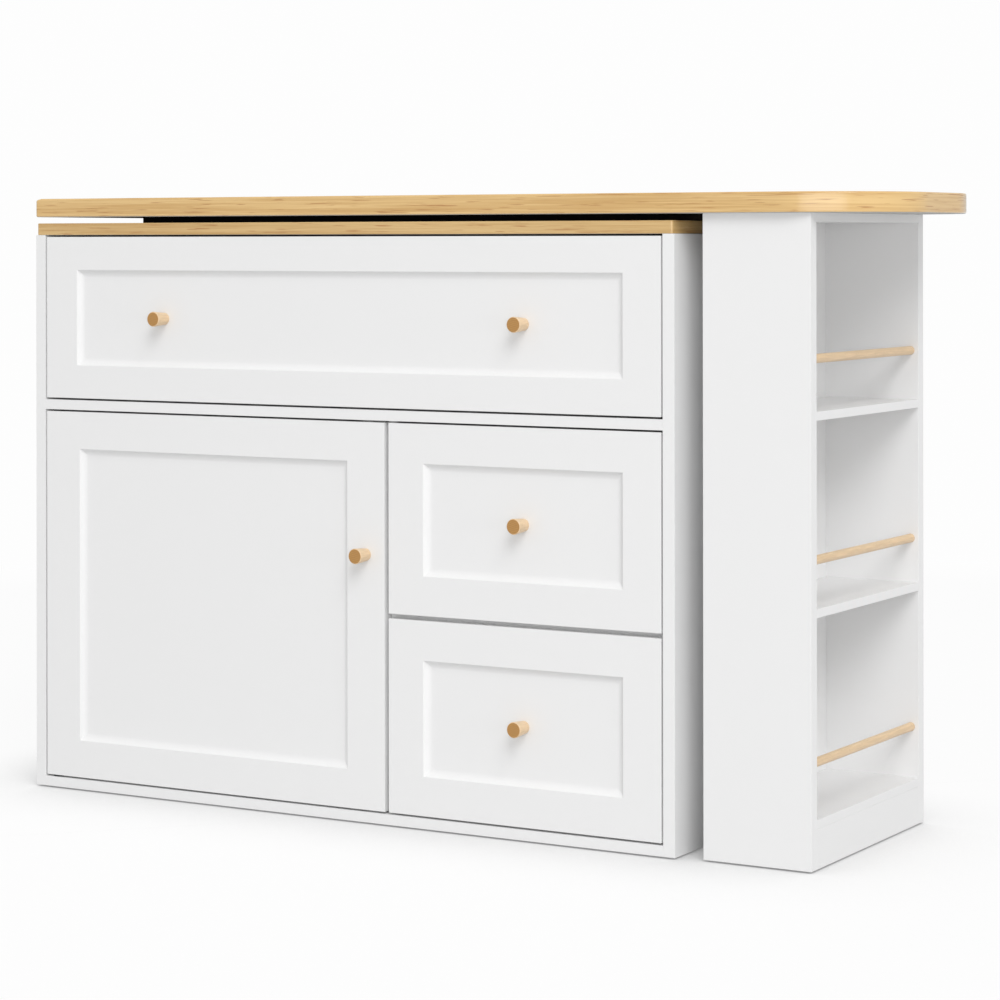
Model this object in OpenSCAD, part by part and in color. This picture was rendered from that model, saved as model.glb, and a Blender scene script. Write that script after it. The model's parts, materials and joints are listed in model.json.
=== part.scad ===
// Kitchen island unit: a base cabinet with three drawers and a door, and a worktop
// that swivels on it and carries an open shelf tower on hidden wheels.
// Millimetres. X runs along the cabinet to the tower, Y from front to back, Z up.

/* [Cabinet] */
// Width of the cabinet
main_w = 1105; // [1045:5:1205]
// Depth of the cabinet
main_d = 400; // [390:5:460]
// Height of the worktop's upper face above the floor
total_h = 900; // [880:5:940]
// Thickness of the painted boards
board_t = 15; // [14:0.5:18]
// Thickness of the cabinet's two sides, and of the tower's front and rear panels
side_t = 18; // [16:0.5:20]
// Height of the glides under the cabinet, and of the tower's base above the floor
floor_gap = 2.5; // [2:0.5:4]
// Radius of a floor glide
glide_r = 11; // [8:1:14]
// Distance of the glides from the ends of the cabinet
glide_inset = 45; // [40:5:80]
// Height of the bay that holds the wide top drawer
top_bay_h = 251; // [240:1:260]
// Distance of the centre divider's middle plane from the left end
divider_x = 641; // [603:1:663]
// Depth of the rail between the two small drawers
drawer_rail_d = 60; // [40:5:80]

/* [Back panel] */
// Thickness of the back panel
back_t = 5; // [4:0.5:6]
// Distance of the back panel from the rear edges of the sides
back_inset = 8; // [6:1:10]
// Depth of the grooves that hold the back panel and the drawer bottoms
groove_depth = 6; // [4:0.5:7]

/* [Fronts] */
// Thickness of the drawer fronts and of the door
front_t = 18; // [18:0.5:20]
// Gap between a front and the board beside it
reveal = 2.8; // [2.6:0.1:3.4]
// Gap between two fronts that meet over a divider
seam = 6.8; // [5:0.2:8]
// Height of the lowest drawer's front
lower_front_h = 276.7; // [270:0.1:284]
// Space between the back of a front and the divider's edge
front_back_gap = 1; // [0.5:0.1:2]
// Width of the upright frame members of the drawer fronts
stile_w = 59; // [50:1:66]
// Width of the door's upright frame members
door_stile_w = 64; // [56:1:70]
// Width of the level frame members of the door and the small fronts
rail_w = 56.5; // [50:0.5:64]
// Width of the level frame members of the wide top front
top_front_rail_w = 50.5; // [46:0.5:58]
// Depth of the sunk panel
panel_sink = 7; // [5:0.5:8]
// Width of the cove round the sunk panel
cove_w = 11; // [8:0.5:14]

/* [Knobs] */
// Radius of a knob at its end
knob_end_r = 11.2; // [9:0.2:14]
// Radius of a knob where it meets the front
knob_foot_r = 9; // [7:0.2:12]
// Length of a knob
knob_len = 28; // [22:1:34]
// Width of the chamfer round a knob's end
knob_chamfer = 0.8; // [0.4:0.1:1.2]
// Distance of the two top knobs from the middle of the top front
knob_spread = 312; // [280:1:330]
// Height of the door's knob above the floor
door_knob_z = 386; // [340:1:420]

/* [Drawer boxes] */
// Thickness of the drawer sides and backs
box_t = 12; // [11:0.5:14]
// Depth of a drawer box behind its front
box_d = 350; // [340:5:352]
// Height of a drawer box above the lower edge of its front
box_lift = 16; // [14:1:20]
// Distance of a drawer box's upper edge below the upper edge of its front
box_drop = 68; // [60:1:80]
// Thickness of the drawer bottoms
box_bottom_t = 5; // [4:0.5:6]
// Height of a drawer bottom above the lower edge of its sides
box_bottom_lift = 10; // [8:1:14]

/* [Runners] */
// Thickness of a closed pair of runner members
runner_w = 12.7; // [12.7:0.1:13.5]
// Height of the fixed runner member
runner_h = 45; // [42:1:48]
// Length of the runner members
runner_len = 345; // [330:5:346]
// Distance of the runners behind the backs of the fronts
runner_setback = 3; // [2:0.5:6]
// Thickness of the runners' sheet steel
runner_steel = 1.2; // [1:0.1:1.3]
// Radius of the runners' balls
runner_ball_r = 2.4; // [2.2:0.1:2.5]
// Number of balls in each row
runner_ball_count = 5; // [4:1:6]
// Spacing of the balls
runner_ball_pitch = 19; // [17:1:20]
// Height of a runner's middle above the lower edge of the drawer sides
runner_lift = 42; // [36:1:50]
// Height of the lips that turn in at the fixed member's open side
runner_lip = 1.7; // [1.5:0.1:1.9]
// Room between the balls and the fixed member's lips
runner_lip_room = 1.8; // [1.6:0.1:2]
// Thickness of the beads along the sliding member's edges
bead_t = 0.8; // [0.7:0.1:0.9]
// Height of those beads over the flanges
bead_h = 1; // [0.8:0.1:1.1]
// Thickness of the ball cages' sheet steel
cage_steel = 0.6; // [0.5:0.05:0.7]
// Width of cage steel round the balls
cage_margin = 1; // [0.8:0.1:1.2]
// Distance of an open drawer's ball cage from the front ends of the runners
cage_stop = 2; // [1:0.5:4]

/* [Door] */
// Distance of the door's pivot axis from its left edge
pivot_inset = 16; // [15:0.5:20]
// Radius of the door's pivot pins
pivot_pin_r = 2.5; // [2:0.1:3]
// Length of pivot pin held in the door
pivot_pin_hold = 25; // [20:1:30]
// Depth of the pivot bushes in the boards
bush_depth = 11; // [9:0.5:12]
// Outer radius of a pivot bush
bush_r = 5; // [4.5:0.1:6]
// Radius of a pivot bush's flange
bush_flange_r = 8; // [7:0.5:9]
// Thickness of a pivot bush's closed end
bush_floor_t = 1; // [0.8:0.1:1.5]
// Gap between a pivot pin's end and the closed end of its bush
pin_end_gap = 1; // [0.5:0.1:2]
// Distance of the magnetic catch from the door's free edge
catch_inset = 10; // [6:1:20]
// Width of the magnetic catch
catch_w = 40; // [30:1:50]
// Depth of the magnetic catch
catch_d = 20; // [16:1:26]
// Height of the magnetic catch
catch_h = 12; // [10:1:14]
// Thickness of the catch's strike plate
strike_t = 1.2; // [1:0.1:1.5]
// Height of the strike plate
strike_h = 16; // [12:1:20]

/* [Shelf] */
// Height of the adjustable shelf's underside
shelf_z = 288; // [240:1:330]
// Distance of the adjustable shelf behind the front edges of the cabinet
shelf_setback = 45; // [40:5:80]
// Gap between the shelf's ends and the boards beside it
shelf_end_gap = 1; // [0.5:0.1:2]
// Radius of a shelf pin
shelf_pin_r = 2.5; // [2:0.1:3]
// Depth of a shelf pin in its hole
shelf_pin_hold = 9; // [7:0.5:10]
// Length of shelf pin under the shelf
shelf_pin_reach = 9; // [7:0.5:12]
// Distance of the shelf pins from the shelf's front and rear edges
shelf_pin_inset = 50; // [30:5:80]
// Gap between the shelf and the pins under it
shelf_pin_gap = 0.1; // [0.05:0.05:0.2]

/* [Worktops] */
// Thickness of the swivelling worktop
worktop_t = 28; // [25:0.5:30]
// Thickness of the wooden top that is fixed to the cabinet
fixed_top_t = 18; // [18:0.5:20]
// Space between the two tops
swivel_gap = 9.5; // [9:0.1:11]
// Overhang of the worktop past the cabinet's front and back
worktop_lip = 3; // [0:0.5:10]
// Overhang of the worktop past the cabinet's left end
worktop_near_lip = 0; // [0:0.5:10]
// Overhang of the worktop past the tower
worktop_reach = 110; // [80:5:140]
// Corner radius at the worktop's free end
worktop_end_r = 150; // [120:5:180]
// Corner radius at the worktop's pivot end
worktop_near_r = 6; // [3:1:20]
// Corner radius of the fixed top
fixed_top_r = 3; // [2:0.5:6]
// Distance of the fixed top's ends inside the outer faces of the cabinet's sides
fixed_top_inset = 2.5; // [0:0.5:4]

/* [Swivel bearing] */
// Distance of the swivel axis from the cabinet's left end
swivel_x = 203; // [183:5:233]
// Outer radius of the bearing plates
bearing_r = 100; // [90:1:105]
// Radius of the ring of balls
ball_ring_r = 72; // [65:1:80]
// Thickness of a bearing plate
bearing_plate_t = 2.2; // [2:0.1:2.5]
// Radius of the bearing's balls
ball_r = 3.2; // [3.1:0.05:3.4]
// Number of balls in the bearing
ball_count = 20; // [16:1:24]
// Thickness of the ring that spaces the balls
cage_t = 1; // [0.8:0.1:1.2]
// Width of the ring that spaces the balls
cage_w = 14; // [12:1:18]
// Radius of the centre boss that the upper plate turns round
boss_r = 16; // [14:1:20]
// Width of the boss's rim over the upper plate
boss_rim = 6; // [5:0.5:8]
// Thickness of the boss's rim
boss_rim_t = 2; // [1.5:0.1:2.5]
// Radius of the hole through the boss
boss_hole_r = 10; // [8:0.5:12]
// Room round and over the boss's rim in the worktop's pocket
pocket_gap = 1; // [0.5:0.1:2]

/* [Support bars] */
// Height of the steel bars under the worktop
bar_h = 9; // [8.5:0.1:9]
// Width of a steel bar
bar_w = 30; // [24:1:34]
// Gap between the long bars and the bearing's plates
bar_gap = 10; // [5:1:15]
// Distance of the bars' left ends from the cabinet's left end
bar_start = 159; // [143:1:183]
// Distance of the middle cross bar from the cabinet's left end
cross_bar_x = 643; // [503:5:803]

/* [Tower] */
// Gap between the cabinet and the tower
tower_gap = 38; // [36:1:60]
// Width of the tower
tower_w = 160; // [150:1:180]
// Distance of the tower's faces behind the cabinet's front and back
tower_inset = 10; // [6:1:15]
// Thickness of the tower's shelves and top
tower_shelf_t = 12; // [12:0.5:15]
// Heights of the undersides of the tower's base, lower and upper shelves
tower_shelf_z = [56, 335, 596.3];
// Heights of the tower's rails above the shelves below them
rail_rise = [72, 62.5, 69.5];
// Radius of a rail
rail_r = 6.25; // [5:0.25:7]
// Distance of the rails' axes behind the tower's open face
rail_inset = 12.5; // [8:0.5:16]
// Depth of the rails' ends in the boards
rail_hold = 6; // [4:0.5:8]

/* [Tower wheels] */
// Radius of a wheel
wheel_r = 20; // [17:0.5:22]
// Width of a wheel
wheel_w = 17; // [14:1:20]
// Radius of a wheel's hub faces
wheel_hub_r = 8; // [7:0.5:10]
// Depth of the dish in a wheel's faces
wheel_dish = 2.5; // [1:0.5:4]
// Width of the rim round a wheel's dished faces
wheel_rim = 4; // [3:0.5:6]
// Radius of a wheel's axle
axle_r = 3; // [2.5:0.1:4]
// Radius of the heads at the ends of an axle
axle_head_r = 5; // [4.5:0.1:6]
// Thickness of the heads at the ends of an axle
axle_head_t = 2; // [1.5:0.1:2.5]
// Distance of the wheels' centres from the tower's front and back
wheel_inset = 60; // [50:1:80]
// Thickness of the wheel brackets' steel
bracket_t = 2; // [1.5:0.1:2.5]
// Width of a bracket's cheeks
bracket_w = 24; // [20:1:30]
// Height of bracket steel below the axle's heads
bracket_end = 1; // [0.5:0.5:2]

/* [Clearances] */
// Radial clearance of a shaft that turns in its bore
running_fit = 0.05; // [0.03:0.01:0.08]
// Clearance of a piece that stays still in its hole or groove
still_fit = 0.02; // [0.01:0.01:0.05]
// Clearance between faces that pass each other closely
pass_gap = 0.3; // [0.3:0.05:0.5]
// Clearance of the runner balls to the members
ball_fit = 0.08; // [0.05:0.01:0.1]

/* [Hidden] */
$fn = 96;
cut = 1; // how far a cutter runs past the face that it opens

WHITE = [0.94, 0.94, 0.93];
WOOD = [0.83, 0.68, 0.46];
STEEL = [0.72, 0.73, 0.75];
BLACK = [0.06, 0.06, 0.06];
NYLON = [0.85, 0.85, 0.82];

// levels
bottom_top = floor_gap + board_t;
worktop_z = total_h - worktop_t;
fixed_top_top = worktop_z - swivel_gap;
carcass_top = fixed_top_top - fixed_top_t;
middle_top = carcass_top - top_bay_h;
middle_z = middle_top - board_t;

// the back panel and the room in front of it
back_rear = main_d - back_inset;
back_front = back_rear - back_t;
inner_left = side_t;
inner_right = main_w - side_t;
divider_left = divider_x - board_t / 2;
divider_right = divider_x + board_t / 2;
inner_front = front_t + front_back_gap;

// fronts: [left, right, lower edge, upper edge]
fronts_left = inner_left + reveal;
fronts_right = inner_right - reveal;
fronts_low = bottom_top + reveal;
fronts_mid = middle_z - reveal;
seam_z = fronts_low + lower_front_h;
door_right = divider_x - seam / 2;
small_left = divider_x + seam / 2;
TOP_FRONT = [fronts_left, fronts_right, middle_top + reveal, carcass_top - reveal];
MIDDLE_FRONT = [small_left, fronts_right, seam_z + seam, fronts_mid];
LOWER_FRONT = [small_left, fronts_right, fronts_low, seam_z];
DOOR_FRONT = [fronts_left, door_right, fronts_low, fronts_mid];
cove_r = (cove_w * cove_w + panel_sink * panel_sink) / (2 * panel_sink);

// drawer bays: [left board's face, right board's face, box's lower edge, box's height]
function box_h(front) = front[3] - front[2] - box_lift - box_drop;
TOP_BAY = [inner_left, inner_right, TOP_FRONT[2] + box_lift, box_h(TOP_FRONT)];
MIDDLE_BAY = [divider_right, inner_right, MIDDLE_FRONT[2] + box_lift, box_h(MIDDLE_FRONT)];
LOWER_BAY = [divider_right, inner_right, LOWER_FRONT[2] + box_lift, box_h(LOWER_FRONT)];
box_rear = front_t + box_d;
runner_y = front_t + runner_setback;

// runner section, measured from the carcass side of the runner: u across, w up
lip_low = runner_h / 2 - runner_steel - runner_lip;
ball_w = runner_h / 2 - runner_steel - ball_fit - runner_ball_r;
slide_w = ball_w - runner_ball_r - ball_fit;
cage_web_u = runner_steel + pass_gap;
slide_tip_u = cage_web_u + cage_steel + pass_gap;
ball_u = slide_tip_u + bead_t + pass_gap + runner_ball_r;
cage_tip_u = ball_u + runner_ball_r + ball_fit + cage_margin;
fixed_tip_u = ball_u + runner_ball_r + runner_lip_room;
cage_len = runner_ball_pitch * runner_ball_count;
cage_y = runner_y + (runner_len - cage_len) / 2 + cage_stop;

// the door's pivot axis
pivot_x = fronts_left + pivot_inset;
pivot_y = front_t / 2;

// the adjustable shelf
shelf_left = inner_left + shelf_end_gap;
shelf_right = divider_left - shelf_end_gap;
shelf_pin_z = shelf_z - shelf_pin_r - shelf_pin_gap;
shelf_pin_ys = [shelf_setback + shelf_pin_inset, back_front - shelf_pin_inset];

// the swivel axis, the bearing and the bars
swivel_y = main_d / 2;
upper_plate_z = worktop_z - bearing_plate_t;
lower_plate_top = fixed_top_top + bearing_plate_t;
ball_z = (upper_plate_z + lower_plate_top) / 2;
bar_z = worktop_z - bar_h;
bar_inset = swivel_y - bearing_r - bar_gap - bar_w;

// the tower
tower_x = main_w + tower_gap;
tower_end = tower_x + tower_w;
tower_front = tower_inset;
tower_back = main_d - tower_inset;
tower_shelf_x = tower_x + board_t;
tower_in_front = tower_front + side_t;
tower_in_back = tower_back - side_t;
tower_base_z = tower_shelf_z[0];
rail_x = tower_end - rail_inset;
worktop_end = tower_end + worktop_reach;
wheel_x = (tower_shelf_x + tower_end - board_t) / 2;
wheel_ys = [tower_front + wheel_inset, tower_back - wheel_inset];
// a wheel's axle points at the swivel axis, so that the wheel rolls round it
function toe(y) = atan((swivel_y - y) / (swivel_x - wheel_x));
cheek_in = wheel_w / 2 + pass_gap;

// the origin stands on the floor under the middle of the whole unit
origin_x = (worktop_end - worktop_near_lip) / 2;
origin_y = (main_d + worktop_lip - knob_len) / 2;

// ---- shared shapes ----

// a board between two opposite corners
module board(low, high) { translate(low) cube(high - low); }

// a cylinder along Y that starts at a point
module rod_y(start, r, len) { translate(start) rotate([-90, 0, 0]) cylinder(r = r, h = len); }

// a cylinder along X that starts at a point
module rod_x(start, r, len) { translate(start) rotate([0, 90, 0]) cylinder(r = r, h = len); }

// a flat plan outline with its own radius at each end
module rounded_plan(x0, x1, y0, y1, near_r, end_r) {
    square_x0 = x0 + near_r;
    square_x1 = x1 - end_r;
    translate([square_x0, y0]) square([square_x1 - square_x0, y1 - y0]);
    translate([x0, y0 + near_r]) square([near_r, y1 - y0 - 2 * near_r]);
    translate([square_x1, y0 + end_r]) square([end_r, y1 - y0 - 2 * end_r]);
    for (y = [y0 + near_r, y1 - near_r]) translate([square_x0, y]) circle(near_r);
    for (y = [y0 + end_r, y1 - end_r]) translate([square_x1, y]) circle(end_r);
}

// ---- fronts and knobs ----

// section of the sunk panel across a front: level floor, with a cove up to the face at each end
module cove_section(span) {
    translate([0, -cut]) square([span, cut]);
    translate([cove_w, -cut]) square([span - 2 * cove_w, panel_sink + cut]);
    for (side = [0, 1]) translate([side * span, 0]) mirror([side, 0])
        intersection() {
            translate([cove_w, panel_sink - cove_r]) circle(cove_r);
            square([cove_w, panel_sink]);
        }
}

// the hollow of a sunk panel, mitred at its corners
module sunk_panel(wide, high) {
    intersection() {
        linear_extrude(high) cove_section(wide);
        translate([wide, 0, 0]) rotate([0, -90, 0]) linear_extrude(wide) cove_section(high);
    }
}

// a framed front: a board with a sunk panel
module framed_front(place, stile, rail) {
    wide = place[1] - place[0];
    high = place[3] - place[2];
    translate([place[0], 0, place[2]]) difference() {
        cube([wide, front_t, high]);
        translate([stile, 0, rail]) sunk_panel(wide - 2 * stile, high - 2 * rail);
    }
}

// a tapered round knob whose foot stands at a point and whose end faces -Y
module knob(foot) {
    body_len = knob_len - knob_chamfer;
    translate(foot) rotate([90, 0, 0]) {
        cylinder(r1 = knob_foot_r, r2 = knob_end_r, h = body_len);
        translate([0, 0, body_len])
            cylinder(r1 = knob_end_r, r2 = knob_end_r - knob_chamfer, h = knob_chamfer);
    }
}

// ---- drawers ----

// the groove for a drawer's bottom, cut round the inside of its walls
module bottom_slot(bay, grow) {
    z = bay[2] + box_bottom_lift;
    board([bay[0] + runner_w + box_t - groove_depth - grow, front_t - groove_depth - grow, z - grow],
          [bay[1] - runner_w - box_t + groove_depth + grow, box_rear + grow,
           z + box_bottom_t + grow]);
}

module drawer_front(place, bay, stile, rail) {
    difference() {
        framed_front(place, stile, rail);
        bottom_slot(bay, still_fit);
    }
}

module drawer_sides(bay) {
    difference() {
        for (x = [bay[0] + runner_w, bay[1] - runner_w - box_t])
            board([x, front_t, bay[2]], [x + box_t, box_rear, bay[2] + bay[3]]);
        bottom_slot(bay, still_fit);
    }
}

module drawer_back(bay) {
    inner = runner_w + box_t;
    board([bay[0] + inner, box_rear - box_t, bay[2] + box_bottom_lift + box_bottom_t + still_fit],
          [bay[1] - inner, box_rear, bay[2] + bay[3]]);
}

module drawer_bottom(bay) { bottom_slot(bay, 0); }

// ---- runners ----

// section of the fixed member: a web on the board, two flanges and their inturned lips
module fixed_section() {
    translate([0, -runner_h / 2]) square([runner_steel, runner_h]);
    for (side = [0, 1]) mirror([0, side]) {
        translate([0, runner_h / 2 - runner_steel]) square([fixed_tip_u, runner_steel]);
        translate([fixed_tip_u - runner_steel, lip_low])
            square([runner_steel, runner_h / 2 - lip_low]);
    }
}

// section of the sliding member: a web on the drawer and two flanges that the balls run on
module sliding_section() {
    translate([runner_w - runner_steel, -slide_w]) square([runner_steel, 2 * slide_w]);
    for (side = [0, 1]) mirror([0, side]) {
        translate([slide_tip_u, slide_w - runner_steel])
            square([runner_w - slide_tip_u, runner_steel]);
        translate([slide_tip_u, slide_w - runner_steel]) square([bead_t, runner_steel + bead_h]);
    }
}

// section of the ball cage: a web with two flanges that hold the balls
module cage_section() {
    top = ball_w + cage_steel / 2;
    translate([cage_web_u, -top]) square([cage_steel, 2 * top]);
    for (side = [0, 1]) mirror([0, side])
        translate([cage_web_u, top - cage_steel]) square([cage_tip_u - cage_web_u, cage_steel]);
}

// places a right-hand and a left-hand copy of a runner piece drawn in (u, w) along Y
module at_both_sides(bay) {
    z = bay[2] + runner_lift;
    translate([bay[0], 0, z]) children();
    translate([bay[1], 0, z]) mirror([1, 0, 0]) children();
}

// a length of a section along Y
module along_y(y, len) {
    translate([0, y + len, 0]) rotate([90, 0, 0]) linear_extrude(len) children();
}

module runners_fixed(bay) {
    at_both_sides(bay) along_y(runner_y, runner_len) fixed_section();
}

module runners_sliding(bay) {
    at_both_sides(bay) along_y(runner_y, runner_len) sliding_section();
}

// balls and the cage that spaces them; they travel half as far as the drawer
module runner_cages(bay) {
    hole_r = runner_ball_r + ball_fit;
    ball_ys = [for (i = [0 : runner_ball_count - 1]) cage_y + runner_ball_pitch * (i + 0.5)];
    at_both_sides(bay) {
        difference() {
            along_y(cage_y, cage_len) cage_section();
            for (y = ball_ys) translate([ball_u, y, -runner_h / 2])
                cylinder(r = hole_r, h = runner_h);
        }
        for (y = ball_ys) for (w = [-ball_w, ball_w])
            translate([ball_u, y, w]) sphere(runner_ball_r, $fn = 32);
    }
}

// ---- cabinet ----

// the groove in a side panel that takes the back panel's edge
module back_slot(x0, x1) {
    board([x0, back_front - still_fit, floor_gap - cut],
          [x1, back_rear + still_fit, carcass_top + cut]);
}

// holes for the shelf pins, bored along X between two planes
module shelf_pin_holes(x0, x1) {
    for (y = shelf_pin_ys) rod_x([x0, y, shelf_pin_z], shelf_pin_r + still_fit, x1 - x0);
}

module left_side_panel() color(WHITE) difference() {
    board([0, 0, floor_gap], [inner_left, main_d, carcass_top]);
    back_slot(inner_left - groove_depth, inner_left + cut);
    shelf_pin_holes(inner_left - shelf_pin_hold - still_fit, inner_left + cut);
}

module right_side_panel() color(WHITE) difference() {
    board([inner_right, 0, floor_gap], [main_w, main_d, carcass_top]);
    back_slot(inner_right - cut, inner_right + groove_depth);
}

module bottom_panel() color(WHITE) difference() {
    board([inner_left, 0, floor_gap], [inner_right, back_front, bottom_top]);
    translate([pivot_x, pivot_y, bottom_top - bush_depth])
        cylinder(r = bush_r + still_fit, h = bush_depth + cut);
}

module middle_panel() color(WHITE) difference() {
    board([inner_left, 0, middle_z], [inner_right, back_front, middle_top]);
    translate([pivot_x, pivot_y, middle_z - cut])
        cylinder(r = bush_r + still_fit, h = bush_depth + cut);
}

module centre_divider() color(WHITE) difference() {
    board([divider_left, inner_front, bottom_top], [divider_right, back_front, middle_z]);
    shelf_pin_holes(divider_left - cut, divider_left + shelf_pin_hold + still_fit);
}

module drawer_rail() color(WHITE) {
    z = seam_z + seam / 2 - board_t / 2;
    board([divider_right, inner_front, z], [inner_right, inner_front + drawer_rail_d, z + board_t]);
}

module back_panel() color(WHITE)
    board([inner_left - groove_depth + still_fit, back_front, floor_gap],
          [inner_right + groove_depth - still_fit, back_rear, carcass_top]);

module fixed_top() color(WOOD) translate([0, 0, carcass_top])
    linear_extrude(fixed_top_t)
        rounded_plan(fixed_top_inset, main_w - fixed_top_inset, 0, main_d, fixed_top_r, fixed_top_r);

module floor_glides() color(NYLON)
    for (x = [glide_inset, divider_x, main_w - glide_inset])
        for (y = [glide_inset, back_front - glide_inset])
            translate([x, y, 0]) cylinder(r = glide_r, h = floor_gap);

module shelf() color(WHITE)
    board([shelf_left, shelf_setback, shelf_z], [shelf_right, back_front, shelf_z + board_t]);

module shelf_pins() color(STEEL)
    for (y = shelf_pin_ys) {
        rod_x([inner_left - shelf_pin_hold, y, shelf_pin_z], shelf_pin_r,
              shelf_pin_hold + shelf_pin_reach);
        rod_x([divider_left - shelf_pin_reach, y, shelf_pin_z], shelf_pin_r,
              shelf_pin_hold + shelf_pin_reach);
    }

// a flanged bush whose flange fills the reveal above or below the door
module pivot_bush(up) {
    translate([pivot_x, pivot_y, up ? middle_z : bottom_top]) mirror([0, 0, up ? 1 : 0])
        difference() {
            union() {
                translate([0, 0, -bush_depth + still_fit])
                    cylinder(r = bush_r, h = bush_depth - still_fit);
                cylinder(r = bush_flange_r, h = reveal - pass_gap);
            }
            translate([0, 0, -bush_depth + bush_floor_t])
                cylinder(r = pivot_pin_r + running_fit, h = bush_depth + reveal);
        }
}

module pivot_bushes() color(NYLON) { pivot_bush(false); pivot_bush(true); }

module magnet_catch() color(NYLON) {
    x = door_right - catch_inset - catch_w;
    y = front_t + strike_t + pass_gap;
    board([x, y, middle_z - catch_h], [x + catch_w, y + catch_d, middle_z]);
}

// ---- swivel bearing ----

// the groove that the balls run in
module race() {
    translate([0, 0, ball_z]) rotate_extrude() translate([ball_ring_r, 0])
        circle(ball_r + running_fit);
}

// the lower plate, with the boss that the upper plate turns round and its rim
module bearing_lower_plate() color(STEEL) translate([swivel_x, swivel_y, 0]) difference() {
    union() {
        translate([0, 0, fixed_top_top]) cylinder(r = bearing_r, h = bearing_plate_t);
        translate([0, 0, fixed_top_top]) cylinder(r = boss_r, h = worktop_z + pass_gap - fixed_top_top);
        translate([0, 0, worktop_z + pass_gap]) cylinder(r = boss_r + boss_rim, h = boss_rim_t);
    }
    race();
    translate([0, 0, fixed_top_top - cut])
        cylinder(r = boss_hole_r, h = swivel_gap + boss_rim_t + pass_gap + 2 * cut);
}

module bearing_upper_plate() color(STEEL) translate([swivel_x, swivel_y, 0]) difference() {
    translate([0, 0, upper_plate_z]) cylinder(r = bearing_r, h = bearing_plate_t);
    translate([0, 0, upper_plate_z - cut])
        cylinder(r = boss_r + running_fit, h = bearing_plate_t + 2 * cut);
    race();
}

// the balls and the ring that spaces them; they turn half as far as the worktop
module bearing_balls() color(STEEL) translate([swivel_x, swivel_y, ball_z]) {
    difference() {
        translate([0, 0, -cage_t / 2]) cylinder(r = ball_ring_r + cage_w / 2, h = cage_t);
        translate([0, 0, -cage_t]) cylinder(r = ball_ring_r - cage_w / 2, h = 2 * cage_t);
        for (i = [0 : ball_count - 1]) rotate([0, 0, 360 * i / ball_count])
            translate([ball_ring_r, 0, -cage_t]) cylinder(r = ball_r + running_fit, h = 2 * cage_t);
    }
    for (i = [0 : ball_count - 1]) rotate([0, 0, 360 * i / ball_count])
        translate([ball_ring_r, 0, 0]) sphere(ball_r, $fn = 32);
}

// ---- worktop and tower ----

module worktop() color(WOOD) difference() {
    translate([0, 0, worktop_z]) linear_extrude(worktop_t)
        rounded_plan(-worktop_near_lip, worktop_end, -worktop_lip, main_d + worktop_lip,
                     worktop_near_r, worktop_end_r);
    // pocket for the boss's rim
    translate([swivel_x, swivel_y, worktop_z - cut])
        cylinder(r = boss_r + boss_rim + pocket_gap, h = cut + pass_gap + boss_rim_t + pocket_gap);
}

// two long steel bars, joined by two cross bars
module support_bars() color(BLACK) {
    bar_end = tower_x - pass_gap;
    rear = main_d - bar_inset;
    for (y = [bar_inset, rear - bar_w])
        board([bar_start, y, bar_z], [bar_end, y + bar_w, worktop_z]);
    for (x = [cross_bar_x, bar_end - bar_w])
        board([x, bar_inset + bar_w, bar_z], [x + bar_w, rear - bar_w, worktop_z]);
}

// blind holes for the rails' ends, bored along Y between two planes
module rail_holes(y0, y1) {
    for (i = [0 : 2])
        rod_y([rail_x, y0, tower_shelf_z[i] + tower_shelf_t + rail_rise[i]],
              rail_r + still_fit, y1 - y0);
}

module tower_front_panel() color(WHITE) difference() {
    board([tower_x, tower_front, floor_gap], [tower_end, tower_in_front, worktop_z]);
    rail_holes(tower_in_front - rail_hold - still_fit, tower_in_front + cut);
}

module tower_back_panel() color(WHITE) difference() {
    board([tower_x, tower_in_back, floor_gap], [tower_end, tower_back, worktop_z]);
    rail_holes(tower_in_back - cut, tower_in_back + rail_hold + still_fit);
}

module tower_inner_panel() color(WHITE)
    board([tower_x, tower_in_front, floor_gap], [tower_shelf_x, tower_in_back, worktop_z]);

module tower_shelf(z) color(WHITE)
    board([tower_shelf_x, tower_in_front, z], [tower_end, tower_in_back, z + tower_shelf_t]);

module tower_top_panel() tower_shelf(worktop_z - tower_shelf_t);
module tower_upper_shelf() tower_shelf(tower_shelf_z[2]);
module tower_lower_shelf() tower_shelf(tower_shelf_z[1]);
module tower_base_shelf() tower_shelf(tower_base_z);

module tower_plinth() color(WHITE)
    board([tower_end - board_t, tower_in_front, floor_gap],
          [tower_end, tower_in_back, tower_base_z]);

module tower_rails() color(WOOD)
    for (i = [0 : 2])
        rod_y([rail_x, tower_in_front - rail_hold, tower_shelf_z[i] + tower_shelf_t + rail_rise[i]],
              rail_r, tower_in_back - tower_in_front + 2 * rail_hold);

// ---- tower wheels ----

// places a piece at a wheel's centre, with its X along the axle
module at_wheel(y) { translate([wheel_x, y, wheel_r]) rotate([0, 0, toe(y)]) children(); }

// a folded steel bracket: a top plate under the base shelf and two cheeks
module wheel_bracket() {
    top = tower_base_z - wheel_r;
    difference() {
        union() {
            for (side = [-1, 1]) {
                low = side > 0 ? cheek_in : -cheek_in - bracket_t;
                board([low, -bracket_w / 2, -axle_head_r - bracket_end],
                      [low + bracket_t, bracket_w / 2, top]);
            }
            board([-cheek_in - bracket_t, -bracket_w / 2, top - bracket_t],
                  [cheek_in + bracket_t, bracket_w / 2, top]);
        }
        rod_x([-cheek_in - bracket_t - cut, 0, 0], axle_r + still_fit,
              2 * (cheek_in + bracket_t + cut));
    }
}

module wheel_brackets() color(STEEL) for (y = wheel_ys) at_wheel(y) wheel_bracket();

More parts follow.
